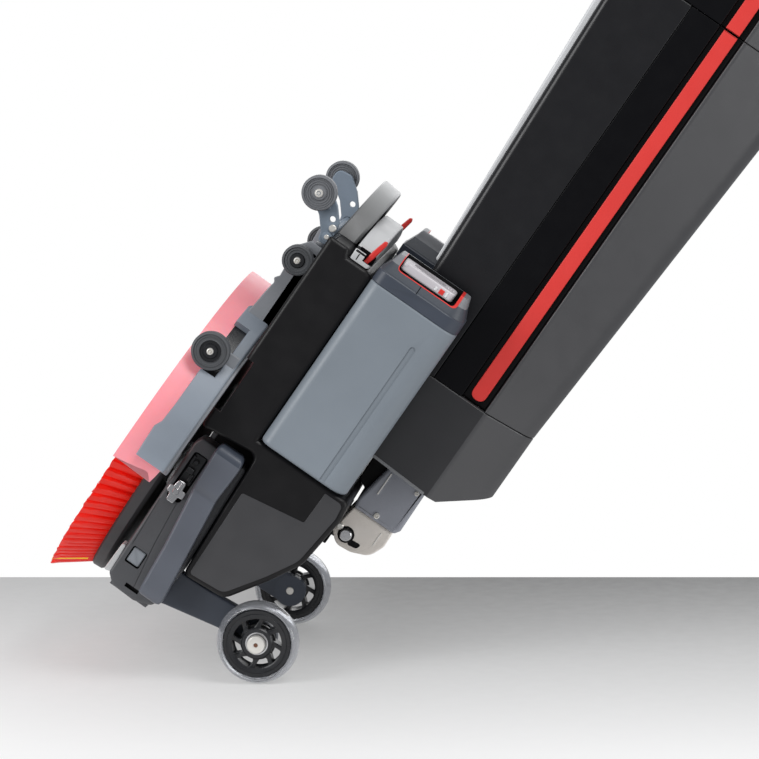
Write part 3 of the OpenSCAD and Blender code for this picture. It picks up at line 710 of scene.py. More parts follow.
wall = arc((0, LOOP_Y), [29 + k * 122 / 60 for k in range(61)], loop_section)
plan = [cos_sin(a) for a in (30, 36, 42, 48, 51.6, 128.4, 132, 138, 144, 150)]
floor = [(109.6 * c, LOOP_Y + 109.6 * s) for c, s in plan]
loop = clip(tipped(wall), (0, LIP_Y, 60), (0, -1, 0))
shelf = clip(tipped(prism(floor, 52, 56, "z", 0.6)), (0, LIP_Y, 60), (0, -1, 0))
piece(join(loop, shelf), "rear_handle", "deck", "light_plastic", "loop", replaces=True)
piece(join(box((-34, 380, 62), (-16, 387.5, 75), 2), box((6, 380, 62), (20, 387.5, 70), 2),
    rod(2.6, -34, 30, (0, 386, 69))), "rear_handle_works", "deck", "dark_plastic", "hub")


def toggle():
    lever = prism(fillet([(359, 89.3, 1.4), (372, 91.1, 5), (386, 95.1, 1.4), (387.9, 98, 1.2),
        (384, 99.3, 1.6), (366, 95.9, 5), (359, 93.7, 1.4)], 4), -CLIP_X - 2.9, 2.9 - CLIP_X, "x", 1.2)
    return join(lever, rod(2.4, -CLIP_X - 3, 3 - CLIP_X, (0, 359, 91.5)),
        rod(1.2, 2 - CLIP_X, 8 - CLIP_X, (0, 359, 91.5)))


pair(toggle, "toggle_clip", "toggle_clip_{}", "red_plastic", "red", replaces="clip_{}")


def rear_bracket():
    plate = prism(fillet([
        (345, 40, 5), (345.5, 51, 5), (360, 51, 4), (370, 49, 5), (383, 38, 5), (393.5, 24, 6), (391.5, 9, 7),
        (379, 9, 6), (366, 28, 5), (354, 38, 4),
    ]), -96.5, -90, "x", 1.2)
    plate = carve(plate, drill(3, -100, -86, (0, 370, 41), steps=24),
        drill(2.2, -100, -95.2, (0, 381, 29), steps=24))
    rib = prism(fillet([(374, 36, 2), (384, 30, 2), (387, 22, 2), (383, 19, 2), (377, 27, 2)], 3), -99,
        -95.5, "x", 1)
    return join(plate, rib, rod(5, -98.5, -90, (0, 353, 46)), rod(2.9, -113, -95, (0, 385, 17)))


pair(rear_bracket, "rear_bracket", "rear_support", "blue_grey_plastic", "bracket")
piece(rod(4, -91, 91, (0, 353, 46)), "rear_axle", "rear_support", "blue_grey_plastic", "bracket",
      replaces="rear_arm")
pair(lambda: join(rod(3.6, -99.6, -96.4, (0, 363, 46), "x", 0.8),
    rod(2.4, -100.6, -98, (0, 353, 46), "x", 0.5)), "rear_bracket_bolts", "rear_support", "steel", "bolt")


def small_wheel(r, half, x, y, z, rings):
    """A wheel with a raised tread, a dished web and a bore."""
    profile = [(3.2, -half), (6.4, -half), (6.9, -half + 0.8)]
    for k in range(rings):
        a = 7.5 + (r - 10.5) * k / rings
        b = 7.5 + (r - 10.5) * (k + 0.55) / rings
        profile += [(a, -half + 1.8), (b, -half + 1.8), (b + 0.3, -half + 1.0), (b + 0.9, -half + 1.0)]
    profile += [(r - 2.6, -half + 1.4), (r - 2.2, -half), (r - 0.8, -half + 0.5), (r, -half + 1.8)]
    profile += [(q, -a) for q, a in reversed(profile)]
    return revolve(profile, (x, y, z), "x", 48)


def bolt_head(x, y, z, r=3.4):
    section = ((0, 1.9), (0.35, 1.9), (0.4, 1.1), (0.6, 2.2), (0.85, 2.0), (1, 1.0), (1, 0), (0, 0))
    return revolve([(r * f, x - a) for f, a in section], (0, y, z), "x", 20)


WHEELS = (
    ("side_wheel", "side_roller_{}", 18.5, 5.4, -160, 210, 19, 2, "wheel_rubber", "rubber", "squeegee"),
    ("guide_wheel", "guide_roller_{}", 15, 5.9, -105, 320, 36, 1, "wheel_rubber", "rubber", "squeegee"),
    ("rear_wheel", "rear_roller_{}", 17, 6.4, -105, 385, 17, 3, "rear_wheel_rubber", "rubber_grey",
     "rear_support"),
)
for name, body, r, half, x, y, z, rings, slot, material, carrier in WHEELS:
    core = 0 if name == "rear_wheel" else r * 0.56
    pair(lambda: small_wheel(r, half, x, y, z, rings), name, body, slot, material, "hub", replaces=True,
         choose=lambda px, py, pz: 1 if math.hypot(py - y, pz - z) < core else 0)
    pair(lambda: bolt_head(x - half, y, z, 4.2 if name == "rear_wheel" else 3.4), name + "_bolt", carrier,
        "steel", "bolt")

# ---------- transport wheels ----------

WX = 140


def tyre():
    half = 12
    section = [(33.2, -10.4), (33.8, -11.6), (34.6, -half), (35.8, -11.4), (37.4, -9.6), (38.8, -7),
        (39.7, -3.6), (40, 0)]
    profile = section + [(r, -a) for r, a in reversed(section[:-1])]
    return revolve(profile, (-WX, 0, AXLE_Z), "x", 72)


def hub():
    centre = (-WX, 0, AXLE_Z)
    rim = revolve([(24, -10.2), (25, -11), (28.4, -11.4), (29, -10.6), (32.2, -10.8), (33.1, -9.8),
        (33.1, 9.8), (32.2, 10.8), (29, 10.6), (28.4, 11.4), (25, 11), (24, 10.2), (25.4, 6), (25.4, -6)],
        centre, "x", 64)
    boss = revolve([(11.05, -11), (14.2, -11), (15.2, -10), (15.6, -6), (15.6, 6), (15.2, 10), (14.2, 11),
                    (11.05, 11)], centre, "x", 48)
    parts = [boss]
    for k in range(8):
        t = math.radians(45 * k + 12)
        lean = math.radians(14)
        rows = []
        for r, w, h in ((14.4, 3.6, 9), (18, 2.4, 8), (22.5, 2.4, 8), (26.6, 4.4, 9)):
            turn = t + lean * (r - 14) / 12
            c, s = math.cos(turn), math.sin(turn)
            outline = rect(-w, -h, w, h, 1, steps=2)
            rows.append([(-WX + a, r * c - q * s, AXLE_Z + r * s + q * c) for q, a in outline])
        parts.append(skin(rows))
    web = revolve([(15, -1.5), (17.2, -1.5), (17.2, 1.5), (15, 1.5)], centre, "x", 48)
    return join(rim, *parts, web)


def bearing():
    section = [(4.1, 0), (6.2, 0), (6.6, 0.5), (9.2, 0.5), (9.6, 0), (10.9, 0), (10.9, 7), (4.1, 7)]
    return join(*[revolve([(r, x + a) for r, a in section], AXLE, "x", 40) for x in (-150.5, -136.5)])


pair(tyre, "transport_tyre", "transport_wheel_{}", "clear_urethane", "clear", replaces=True)
pair(hub, "transport_hub", "transport_wheel_{}", "black_plastic", "hub", replaces=True)
pair(bearing, "wheel_bearing", "deck", "steel", "steel", replaces="wheel_bearings")

# ---------- squeegee ----------

RING = (0, BRUSH_Y + 3)


def sweep_angles(first, count):
    return [first + (180 - 2 * first) * k / count for k in range(count + 1)]


ARM_LOW = ((5, 17.2), (14.4, 16), (16.6, 19.6), (22.6, 20.6), (35, 20.4), (35.05, 36), (55, 36),
    (55.05, 20.6), (63.6, 21), (64.6, 23), (65.2, 44))


def arm_low(a):
    """Height of an arm's lower edge, at an angle from its tip's side."""
    for (a0, z0), (a1, z1) in zip(ARM_LOW, ARM_LOW[1:]):
        if a0 <= a <= a1:
            return z0 + (z1 - z0) * (a - a0) / (a1 - a0)
    return ARM_LOW[-1][1]


def arm_section(d):
    low = arm_low(min(d, 180 - d))
    return rounded([(190.3, low, 0.6), (197, low, 1.6), (197, 46.5, 2), (195.5, 48, 1.5),
        (190.3, 48, 0.6)], 2)


arm_angles = [a for a, _ in ARM_LOW]
arm_angles += [8, 11, 18, 19, 20, 26, 30, 38, 42, 46, 50, 58, 61]
right_arm = arc(RING, sorted(180 - a for a in arm_angles), arm_section)
left_arm = arc(RING, sorted(arm_angles), arm_section)
piece(join(right_arm, left_arm), "squeegee_arms", "squeegee", "blue_grey_plastic", "arm", sharp=32)

inner = arc(RING, sweep_angles(6, 72), lambda d: rounded([(177, 24, 1), (185.7, 24, 1), (185.7, 45.2, 0),
    (190.4, 45.2, 0), (190.4, 51, 1), (179, 51, 3), (177, 48, 2)], 2))
back_rim = arc(RING, sweep_angles(64, 40), lambda d: rounded(
    [(190.3, 24, 0.8), (196, 24, 2), (196, 51, 2), (190.3, 51, 0.4)], 2))
yoke = carve(prism(rect(-95, 244, 95, 342, 3, 10), 40, 51, "z", 0.5, 2),
             box((-90, 235, 38), (90, 337, 47.5), 0),
             drill(191, 30, 60, (0, BRUSH_Y + 3, 0), "z", 96), drill(16, 38, 56, (0, 290, 0), "z"))
cheek = fillet([(248, 23.4, 1), (288, 28.6, 3), (291.6, 26, 1), (296, 29.6, 2), (330, 27, 5), (341, 36, 4),
                (341, 50, 2), (248, 50, 1)], 3)
cheeks = [prism(cheek, x - 2.2, x + 2.2, "x", 0.8) for x in (-92.8, 92.8)]
port = revolve([(16.2, 40), (19, 40), (19, 52.5), (16.2, 53.5)], (0, 290, 0), "z", 32)
ears = twins(166, 18, (97, 42), (110, 50.6), 1.5)
tabs = twins(146.5, 4.5, (84, 42), (110, 50.6), 1.5)
lugs = twins(147.8, 2.3, (203, 12), (217, 46), 1)
guide_lugs = twins(95.4, 2.6, (311, 29), (329, 50), 2)
axles = twin_rods(3, 146, 166, (0, 210, 19)) + twin_rods(3, 92, 112, (0, 320, 36))
piece(join(inner, back_rim, yoke, *cheeks, port, *ears, *tabs, *lugs, *guide_lugs, *axles),
      "squeegee_frame", "squeegee", "blue_grey_plastic", "arm_painted_light", replaces=True, sharp=32)


def wheel_well_shade():
    """Dark sheet in the well behind each side wheel: painted shade."""
    return arc(RING, [180 - a for a in (55.2, 52, 48, 44, 40, 36, 34.8)],
               lambda d: anticlockwise([(186.4, 22), (190.2, 22), (190.2, 44), (186.4, 44)]))


pair(wheel_well_shade, "wheel_well_shade", "squeegee", "dark_plastic", "hub")


def make_blade():
    """A thin flexible lip, with a waved free end and a tongue at each tip."""
    levels = ((0, 0.5), (3, 0.7), (14, 1.2), (26, 1.9), (33, 2.4), (36, 2.3), (39, 1.4), (42.2, 0.2),
        (43.6, 2.2), (44.6, 4.4))
    count = 96
    rings = []
    for k in range(count + 1):
        outer, inner_side = [], []
        for z, first in levels:
            lean = 0.5 * (1 - z / 45) ** 2
            d = first + (180 - 2 * first) * k / count
            wave = 0.18 * math.sin(d * 0.9) * (1 - z / 45)
            c, s = cos_sin(d)
            for side, r in ((outer, 189.6 + lean * 0.6 + wave), (inner_side, 186.3 + lean + wave)):
                side.append((RING[0] + r * c, RING[1] + r * s, z))
        rings.append(outer + inner_side[::-1])
    return skin(rings)


piece(make_blade(), "squeegee_blade", "squeegee", "squeegee_rubber", "blade", replaces=True)

# ---------- brush ----------

BRUSH = (0, BRUSH_Y, 0)
piece(revolve([(14.2, 33), (128, 32.2), (134.4, 33), (136, 35), (135.4, 44), (133, 46.6), (128, 48), (60, 48),
               (56, 46), (14.2, 46)], BRUSH, "z", 96), "brush_block", "brush", "dark_plastic", "block",
      replaces=True)


def add_tuft(bm, angle, root_r, tip_r, root_w, tip_w, top, jag):
    """One bundle of filaments: a fluted cone that leans outwards and spreads towards the floor."""
    sides, levels = 10, 5
    rows = []
    c, s = cos_sin(angle)
    for level in range(levels + 1):
        f = level / levels
        r = root_r + (tip_r - root_r) * f
        w = root_w + (tip_w - root_w) * f
        row = []
        for j in range(sides):
            t = math.tau * j / sides
            flute = 1 + (0.14 if j % 2 else -0.12) * f
            u, v = r + w * 1.1 * flute * math.cos(t), w * flute * math.sin(t)
            z = top * (1 - f) + (random.uniform(0, jag) if level == levels else 0)
            row.append(bm.verts.new(at(u * c - v * s, BRUSH_Y + u * s + v * c, z)))
        rows.append(row)
    for a, b in zip(rows, rows[1:]):
        for j in range(sides):
            k = (j + 1) % sides
            bm.faces.new((a[j], a[k], b[k], b[j]))
    bm.faces.new(rows[0])
    bm.faces.new(rows[-1])


def make_bristles():
    """Six rings of tufts, from the outermost inwards."""
    rows = ((132, 154.4, 98, 2.6, 4.7), (121, 141, 92, 2.4, 4.4), (111, 128, 104, 2.2, 3.4),
            (99, 112, 92, 2.4, 3.4), (86, 96, 78, 2.6, 3.4), (72, 80, 64, 2.6, 3.4))
    bm = bmesh.new()
    for index, (root_r, tip_r, count, root_w, tip_w) in enumerate(rows):
        for k in range(count):
            angle = 360 * (k + 0.5 * (index % 2)) / count + random.uniform(-0.3, 0.3)
            lean = random.uniform(-0.9, 0.9)
            add_tuft(bm, angle, root_r, tip_r + lean, root_w, tip_w, 33, 1.6)
    bmesh.ops.recalc_face_normals(bm, faces=bm.faces)
    return bm


piece(make_bristles(), "brush_bristles", "brush", "bristles", "bristle", replaces=True, sharp=60)

bm = bmesh.new()
for degrees in (243.6, 63.6):
    add_tuft(bm, degrees, 137, 155.4, 1.6, 3.2, 29, 0.4)
bmesh.ops.recalc_face_normals(bm, faces=bm.faces)
piece(bm, "wear_tufts", "brush", "bristles", "yellow", sharp=60)

# ---------- batteries ----------

BATTERY_Y, CAP_Y = 165, 352


def battery_outline(d):
    corners = [(-158 + d, 105 + d, 11), (-102 - d, 105 + d, 2.5), (-102 - d, 201 - d, 5),
        (-158 + d, 201 - d, 19)]
    return fillet([(x, z, max(r - d, 1)) for x, z, r in corners], 6)


def battery_body(stations):
    return loft([(y, anticlockwise(battery_outline(d))) for y, d in stations])


def battery_case():
    stations = [(0, 3), (0.5, 1.6), (1.6, 0.6), (3.4, 0), (184.6, 0), (186, 0.2), (186.8, 0.9)]
    body = battery_body([(BATTERY_Y + y, d) for y, d in stations])
    channel = prism(fillet([(160, 171.6, 0), (322, 171.6, 2.7), (322, 177.4, 2.7), (160, 177.4, 0)]), -160,
        -157.1)
    return carve(body, channel)


def cap_body(grow):
    stations = [(0, 0.6), (0.6, 0), (12.6, 0), (13.2, 0.5), (13.8, 1.3), (15, 1.6), (25, 6.2), (29, 7.6),
        (33, 8.8), (34.6, 9.8), (35, 11.2)]
    return battery_body([(CAP_Y + y + (grow if y > 20 else 0), d - grow) for y, d in stations])


RECESS_Y, RECESS_Z0, RECESS_Z1, RECESS_X = 373.6, 120.4, 183, -115
RECESS_CORNER = 3.4


def recess(low, high):
    """The handle's well, open to the rear, widened on each side."""
    y, z0, z1 = RECESS_Y - low, RECESS_Z0 - low, RECESS_Z1 + high
    r = RECESS_CORNER + low
    return prism(fillet([(y, z0, r), (395, z0, 0), (395, z1, 0), (y, z1, r)], 5), -162, RECESS_X)


def battery_cap():
    seam = box((-162, 364.5, 147.2), (-145, 377, 148))
    return carve(cap_body(0), recess(0, 0), seam)


# Painted shade on the handle well's walls and corners; the facets and rear face take the lighter
# painted-light copies of the cap plastic.
def cap_painted_light(x, y, z):
    inside = RECESS_Y - 0.1 < y and RECESS_Z0 - 0.1 < z < RECESS_Z1 + 0.1 and x < RECESS_X + 0.2
    corner = y < RECESS_Y + 3.3 and not RECESS_Z0 + 3.3 < z < RECESS_Z1 - 3.3 and x > -147
    wall = y < RECESS_Y + 0.2 or not RECESS_Z0 + 0.2 < z < RECESS_Z1 - 0.2 or x > RECESS_X - 0.2
    if inside and (wall or corner):
        return 3
    if y < 365.4:
        return 0
    return 1 if y < 379 else 2


def recess_trim():
    """A thin red rim round the well, broader at its upper end."""
    rim = carve(cap_body(0.2), recess(0.8, 3.0), operation="INTERSECT")
    return carve(rim, recess(0, 0), cap_body(-0.6))


def battery_bail():
    outer = rect(-149.4, 120.8, -116, 179, 4, 5, steps=4)
    hole = rect(-142, 131, -122, 166, 3, 4, steps=4)
    bail = carve(prism(outer, 374.7, 383.9, "y", 1.8), prism(hole, 370, 395, "y"))
    ribs = [box((-138, 383.3, 168.5 + 3 * k), (-126, 384.4, 170 + 3 * k), 0.4) for k in range(3)]
    return join(bail, *ribs, rod(2, -149.9, -114.6, (0, 381.5, 124.5)))


pair(battery_case, "battery_case", "battery_{}", "battery_plastic", "battery", replaces=True)
pair(battery_cap, "battery_cap", "battery_{}", "battery_cap_plastic", "cap_dark", "cap_lit_facets", "cap_highlight",
    "deep", replaces=True, choose=cap_painted_light)
pair(recess_trim, "battery_trim", "battery_{}", "red_plastic", "red")
pair(battery_bail, "battery_handle", "battery_grip_{}", "handle_grey", "handle", replaces=True)
pair(lambda: box((-150, 376.3, 163.5), (-149, 381.3, 168.5), 0.3), "battery_tab", "battery_grip_{}",
    "red_plastic", "red")
pair(lambda: join(box((-149.9, 376.7, 170.4), (-149, 381.3, 172.4), 0.3),
    box((-149.9, 376.7, 158.6), (-149, 380.3, 161), 0.3)), "battery_marks", "battery_grip_{}",
    "light_plastic", "panel")

# ---------- neck ----------


def neck_cheek():
    return prism(fillet([(99, 221, 12), (100.5, 237, 16), (108, 255, 16), (124, 261.6, 10), (141, 261, 2),
        (141, 215, 2), (122, 212, 8), (110, 209, 9)], 8), -35, -23, "x", 2.2)


cheeks = [neck_cheek(), mirrored(neck_cheek())]
casting = carve(join(*cheeks), drill(6.05, -50, 50, (0, 113, 224)))
piece(join(casting, box((-34, 127, 218), (34, 141, 259.5), 2)), "neck_casting", "tower", "cream_casting",
    "casting", replaces=True)
pair(lambda: join(revolve([(6.3, -36), (7.6, -36), (8.4, -35.4), (8.4, -34.6), (6.3, -34.6)],
    (0, 113, 224)), prism(fillet([(105, 229, 4), (107, 240, 3), (113, 243, 3), (112, 231, 3)], 3), -35.6,
    -34.4, "x", 0.4)), "neck_bush", "tower", "cream_casting", "deep")
pair(lambda: join(rod(3.6, -38, -34.8, (0, 117, 214.5), "x", 1.2),
    box((-35.4, 119, 251), (-34.6, 134, 252.2), 0.3)), "neck_stop_pin", "tower", "steel", "bolt")
saddle = prism(fillet([(141, 215, 3), (141, 262, 4), (147, 266, 4), (200, 265, 2), (200, 222, 5),
    (151, 213, 6)]), -40, 40, "x", 4, steps=4)
saddle = carve(saddle, drill(13, 150, 204, (0, 0, 240), "y"))
piece(saddle, "neck_block", "tower", "slate_casting", "neck", replaces=True)
pair(lambda: join(bolt_head(-40, 147, 238, 3.2), bolt_head(-40, 188, 258, 2.6),
                  box((-40.8, 165, 226), (-39.8, 190, 227.4), 0.3)), "neck_bolts", "tower", "steel", "bolt")
piece(prism(fillet([(166, 203, 4), (199, 203, 1), (199, 224, 1), (160, 216, 2)], 3), -32, 32, "x", 1),
      "neck_fairing", "tower", "dark_plastic", "deep")
piece(prism(fillet([(97, 164, 2), (129, 164, 2), (129, 204, 3), (124.5, 212, 4), (123.5, 222, 10),
    (113, 235, 10), (102.5, 222, 10), (101.5, 212, 4), (97, 204, 3)]), -22, 22, "x", 1.5), "neck_base",
    "deck", "dark_casting", "hub", replaces=True)

# ---------- tower ----------

Y0, Y1 = 300, 728
HEAD_Y = 800


def back_z(y):
    return 150 - 19 * (y - Y0) / 428


def front_z(y):
    return 320 + 22 * (y - Y0) / 428


def front_section(y):
    """The clean tank's section, with a groove for the stripe down each side."""
    z = front_z(y)
    return both_halves([(-91.4, 206.5, 0.6), (-91.4, 238, 0.8), (-84, 238.6, 0.8), (-84, 264.4, 0.8),
                        (-92, 265.4, 1.2), (-92, 268, 10), (-63 + (z - 320) * 0.4, z, 30)])


def front_body():
    ends = ((Y0, 0.7), (Y0 + 0.21, 0.245), (Y0 + 0.7, 0), ((Y0 + Y1) / 2, 0), (Y1 - 0.7, 0), (Y1, 0.7))
    return loft([(y, inset(front_section(y), d)) for y, d in ends])


# Painted light on the chamfer above the side band; painted shade in the stripe's groove.
def front_tank_painted_light(x, y, z):
    if 83 < abs(x) < 91.2 and 238 < z < 265:
        return 2
    return 1 if z < 239 else 0


piece(front_body(), "front_tank", "clean_tank", "black_satin", "tower_front", "tower_side", "deep",
      replaces=True, sharp=24, choose=front_tank_painted_light)
# near-black strips in the stripe's groove: painted shade
piece(join(*twins(84.6, 0.9, (Y0 + 2, 239.2), (Y1 - 2, 263.8))), "groove_liner", "clean_tank",
    "black_satin", "deep")


def stripes(y0, y1, r0, r1):
    """A bar on each side of the tower, with its own corner radius at each end."""
    outline = fillet([(y0, 243.8, r0), (y1, 243.8, r1), (y1, 259, r1), (y0, 259, r0)], 6)
    bars = [prism(outline, -89, -84.2, "x", 0.7, 0) for _ in SIDES]
    return join(bars[0], mirrored(bars[1]))


piece(stripes(Y0 + 4.4, Y1 - 1, 6.6, 0.3), "accent_stripe", "clean_tank", "red_plastic", "stripe",
      replaces="accent_stripes")
piece(stripes(Y1 + 1.2, 768, 0.3, 6.6), "head_stripe", "tower", "red_plastic", "stripe")


def rear_section(y):
    z = back_z(y)
    return rounded([(-92, z, 7), (-92, 206, 1), (92, 206, 1), (92, z, 7)], 5)


piece(loft([(y, inset(rear_section(y), d)) for y, d in
            ((Y0, 0.8), (Y0 + 0.3, 0.3), (Y0 + 0.9, 0), (Y1 - 0.9, 0), (Y1, 0.8))]),
      "rear_tank", "tower", "black_satin", "tower_rear", replaces=True, sharp=30)

BASE_END = 299.3


def base_section(y, d=0.0):
    return both_halves([(-92 + d, back_z(y) + d, 7), (-92 + d, 268, 10), (-63, 320 - d, 30)])


def trim_front(bm, *line):
    """Cuts bm off in front of each part of a line through (y, z) points."""
    for (y0, z0), (y1, z1) in zip(line, line[1:]):
        bm = clip(bm, (0, y0, z0), Vector((0, z0 - z1, y1 - y0)).normalized())
    return bm


def make_base():
    base = loft([(y, base_section(y, d)) for y, d in ((196, 0), (BASE_END - 0.8, 0), (BASE_END, 0.8))])
    base = trim_front(base, (205, 150), (200, 264), (200, 276), (229.5, 320))
    return carve(base, drill(13, 190, 215, (0, 0, 240), "y"))


# the base's chamfer takes the painted-light grey of the front tank
piece(soften(make_base(), 0.9, 2, 24), "tower_base", "tower", "black_satin", "tower_front", "tower_base",
      replaces=True, sharp=24, choose=lambda x, y, z: 1 if z < 262 and abs(x) > 91 or z < 200 else 0)


def base_lip():
    """A pale moulded edge round the lower end of the base."""
    ring = loft([(y, base_section(y, -0.5)) for y in (196, 215)])
    ring = trim_front(ring, (204.6, 150), (199.7, 262), (199.7, 320))
    ring = clip(ring, (0, 207.4, 150), Vector((0, 114, 5)).normalized())
    ring = clip(ring, (0, 200, 262), Vector((0, 0, 1)))
    return carve(ring, loft([(y, base_section(y, 1.4)) for y in (190, 220)]))


piece(base_lip(), "base_lip", "tower", "light_plastic", "lip")
pair(lambda: box((-38, 201, 276.8), (-8, 205, 280), 0.4), "base_vent", "tower", "dark_plastic", "deep")


def panel_section(y):
    z = back_z(y)
    proud = 3 + 5 * (y - 392) / 388
    return rounded([(-74, z - 0.3, 0.3), (-74, z - proud, 2.4), (74, z - proud, 2.4), (74, z - 0.3, 0.3)], 4)


piece(loft([(y, inset(panel_section(y), d)) for y, d in
            ((392, 1.2), (392.5, 0.5), (394, 0), (600, 0), (778, 0), (779.6, 0.5), (780, 1.2))]),
      "back_panel", "tower", "light_plastic", "panel", replaces=True)


def head_section(y, d=0.0):
    low, z = back_z(Y1), front_z(Y1)
    closed = min(1.0, max(0.0, (y - 764) / 8))
    groove = -84 - 7.4 * closed + d
    full = both_halves([(-92 + d, low + d, 7), (-91.4 + d, 238, 0.8), (groove, 238.6, 0.8),
        (groove, 264.4, 0.8), (-92 + d, 265.4, 1.2), (-92 + d, 268, 10),
        (-63 + (z - 320) * 0.4, z - d, 30)])
    f = max(0.0, (y - 764) / (HEAD_Y - 764)) ** 1.25
    return [(x * (1 - 0.52 * f), 237 + (v - 237) * (1 - 0.62 * f)) for x, v in full]


# Painted shade in the stripe's groove; painted light on the chamfer and top above it.
def head_painted_light(x, y, z):
    if 80 < abs(x) < 91.2 and y < 766 and 238.4 < z < 264.6:
        return 2
    return 1 if z > 265 else 0


stations = [(728.7, 0.7), *[(y, 0) for y in (729.4, 750, 764, 768, 772, 776, 782, 788, 794)], (798, 0.4),
    (799.6, 2.2)]
head = loft([(y, head_section(y, d)) for y, d in stations])
piece(carve(head, drill(17, 738, 804, (0, 0, 236), "y", 40)), "tower_head", "tower", "black_satin",
    "tower_side", "tower_front", "deep", replaces=True, sharp=30, choose=head_painted_light)

# ---------- handle and controls ----------

stem_low, stem_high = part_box("handle_stem")
loop_low, loop_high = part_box("handle_loop")
LOOP0 = (loop_low.y - AXLE_Y) / MM + 13
LOOP1 = (loop_high.y - AXLE_Y) / MM - 13
STEM_Z = (loop_low.z + loop_high.z) / 2 / MM


def grip():
    profile = [(13.05, 0), (15.2, 0), (15.9, 0.8)]
    for k in range(11):
        a = 3 + 5 * k
        profile += [(16, a), (16, a + 3), (15.1, a + 3.6), (15.1, a + 4.4)]
    profile += [(16, 58.6), (15.2, 60), (13.05, 60)]
    return revolve(profile, (-124, LOOP1, STEM_Z), "x", 40)


pair(grip, "handle_grip", "tower", "grip_rubber", "grip", replaces="handle_grips")
shell = prism(rect(-56, LOOP0 - 34, 56, LOOP0 + 34, 14, 12), 210, 258, "z", 5, 8, 4)
cuts = [box((-52, LOOP0 - 30, 220), (52, LOOP0 + 30, 252)),
    drill(17, LOOP0 - 40, LOOP0 - 14, (0, 0, STEM_Z), "y", 40),
    prism(rect(-40, LOOP0 - 24, 12, LOOP0 + 24, 3, steps=3), 205, 213, "z"),
    drill(9, 200, 226, (34, LOOP0, 0), "z")]
cuts += twins(54, 4, (LOOP0 + 12, 227), (LOOP0 + 32, 245))
cuts += twin_rods(13.1, 48, 60, (0, LOOP0, STEM_Z), "x", 0, 32)
shell = carve(shell, *cuts)
pins = [rod(2, 219, 255, (s * 44, LOOP0 + 20, 0), "z") for s in (-1, 1)]
piece(join(shell, *pins), "control_head", "tower", "dark_plastic", "frame", replaces=True)
piece(prism(rect(-39.5, LOOP0 - 23.5, 11.5, LOOP0 + 23.5, 3, steps=3), 209, 213, "z", 0.8, 0),
    "display_panel", "tower", "display_glass", "glass", replaces=True)
piece(join(*[box((-34, LOOP0 - 16 + 7 * k, 208.6), (-18, LOOP0 - 12 + 7 * k, 209.4), 0.3) for k in range(4)]),
      "display_bars", "tower", "display_glass", "lamp_green")
piece(join(*[rod(2.2, 208.6, 209.4, (0, LOOP0 - 12 + 12 * k, 0), "z", 0.2, 16) for k in range(3)]),
      "display_lamps", "tower", "display_glass", "lamp_amber")
piece(join(revolve([(0, 206), (6, 205.8), (7.6, 205.2), (8.6, 206.4), (8.6, 219), (0, 219)],
    (34, LOOP0, 0), "z", 32), rod(10.5, 220.5, 222.5, (34, LOOP0, 0), "z"),
    rod(6, 218, 221, (34, LOOP0, 0), "z")), "power_button", "power_switch", "red_plastic", "red",
    replaces=True)


def trigger():
    blade = prism(fillet([
        (-42, LOOP0 + 26, 2), (-62, LOOP0 + 28, 5), (-76, LOOP1 - 31, 6), (-122, LOOP1 - 31, 2.4),
        (-124, LOOP1 - 36, 2.4), (-84, LOOP1 - 40, 5), (-70, LOOP0 + 16, 5), (-44, LOOP0 + 14, 2),
    ], 4), 229, 243, "z", 2)
    return join(carve(blade, drill(5.6, 220, 250, (-44, LOOP0 + 20, 0), "z", 24)),
                revolve([(2.05, 229), (6, 229), (6, 243), (2.05, 243)], (-44, LOOP0 + 20, 0), "z", 24))


pair(trigger, "trigger", "drive_lever_{}", "red_plastic", "red", replaces=True)

# ---------- CAD nodes that keep their shape ----------

KEPT = {
    "chassis_plate": "frame", "brush_motor": "motor", "gearbox": "gear", "drive_shaft": "steel",
    "battery_cells_right": "cell", "battery_cells_left": "cell", "vacuum_motor": "motor",
    "handle_stem": "tube", "handle_loop": "tube",
}
for name, key in KEPT.items():
    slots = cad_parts[name].material_slots
    for k in range(len(slots)):
        slots[k].material = M[key]

# ---------- camera, light and floor ----------

RIGHT = Vector((0.0938, 0.5620, 0.8218))
UP = Vector((0.1285, 0.8117, -0.5698))
EYE = Vector((-3.2145, 0.2666, 0.1770))
LENS = 156.5
back = RIGHT.cross(UP).normalized()
up = (UP - back * UP.dot(back)).normalized()
right = up.cross(back)


def facing(location, x_axis, y_axis, z_axis):
    m = Matrix((x_axis, y_axis, z_axis)).transposed().to_4x4()
    m.translation = location
    return m


camera = linked("camera", bpy.data.cameras.new("camera"))
camera.data.sensor_width = 36
camera.data.lens = LENS
camera.data.clip_end = 40
camera.matrix_world = facing(EYE, right, up, back)
bpy.context.scene.camera = camera

CENTRE = Vector((0, -0.1, 0.2))


def lamp(name, r, u, b, size, power):
    """A soft panel placed from the machine's middle by camera right, up and back, and aimed at it."""
    data = bpy.data.lights.new(name, "AREA")
    data.shape = "RECTANGLE"
    data.size, data.size_y = size
    data.energy = power
    place = CENTRE + right * r + up * u + back * b
    z_axis = (place - CENTRE).normalized()
    x_axis = (up if abs(up.dot(z_axis)) < 0.9 else right).cross(z_axis).normalized()
    linked(name, data).matrix_world = facing(place, x_axis, z_axis.cross(x_axis), z_axis)


lamp("key", 1.0, 2.1, 1.6, (1.6, 1.6), 40)
lamp("side_fill", 2.4, -0.5, 1.2, (1.4, 2.0), 24)
lamp("left_fill", -2.3, 0.9, 1.9, (1.5, 1.8), 48)
lamp("far_fill", 0.6, 1.2, -2.6, (2.2, 2.2), 18)

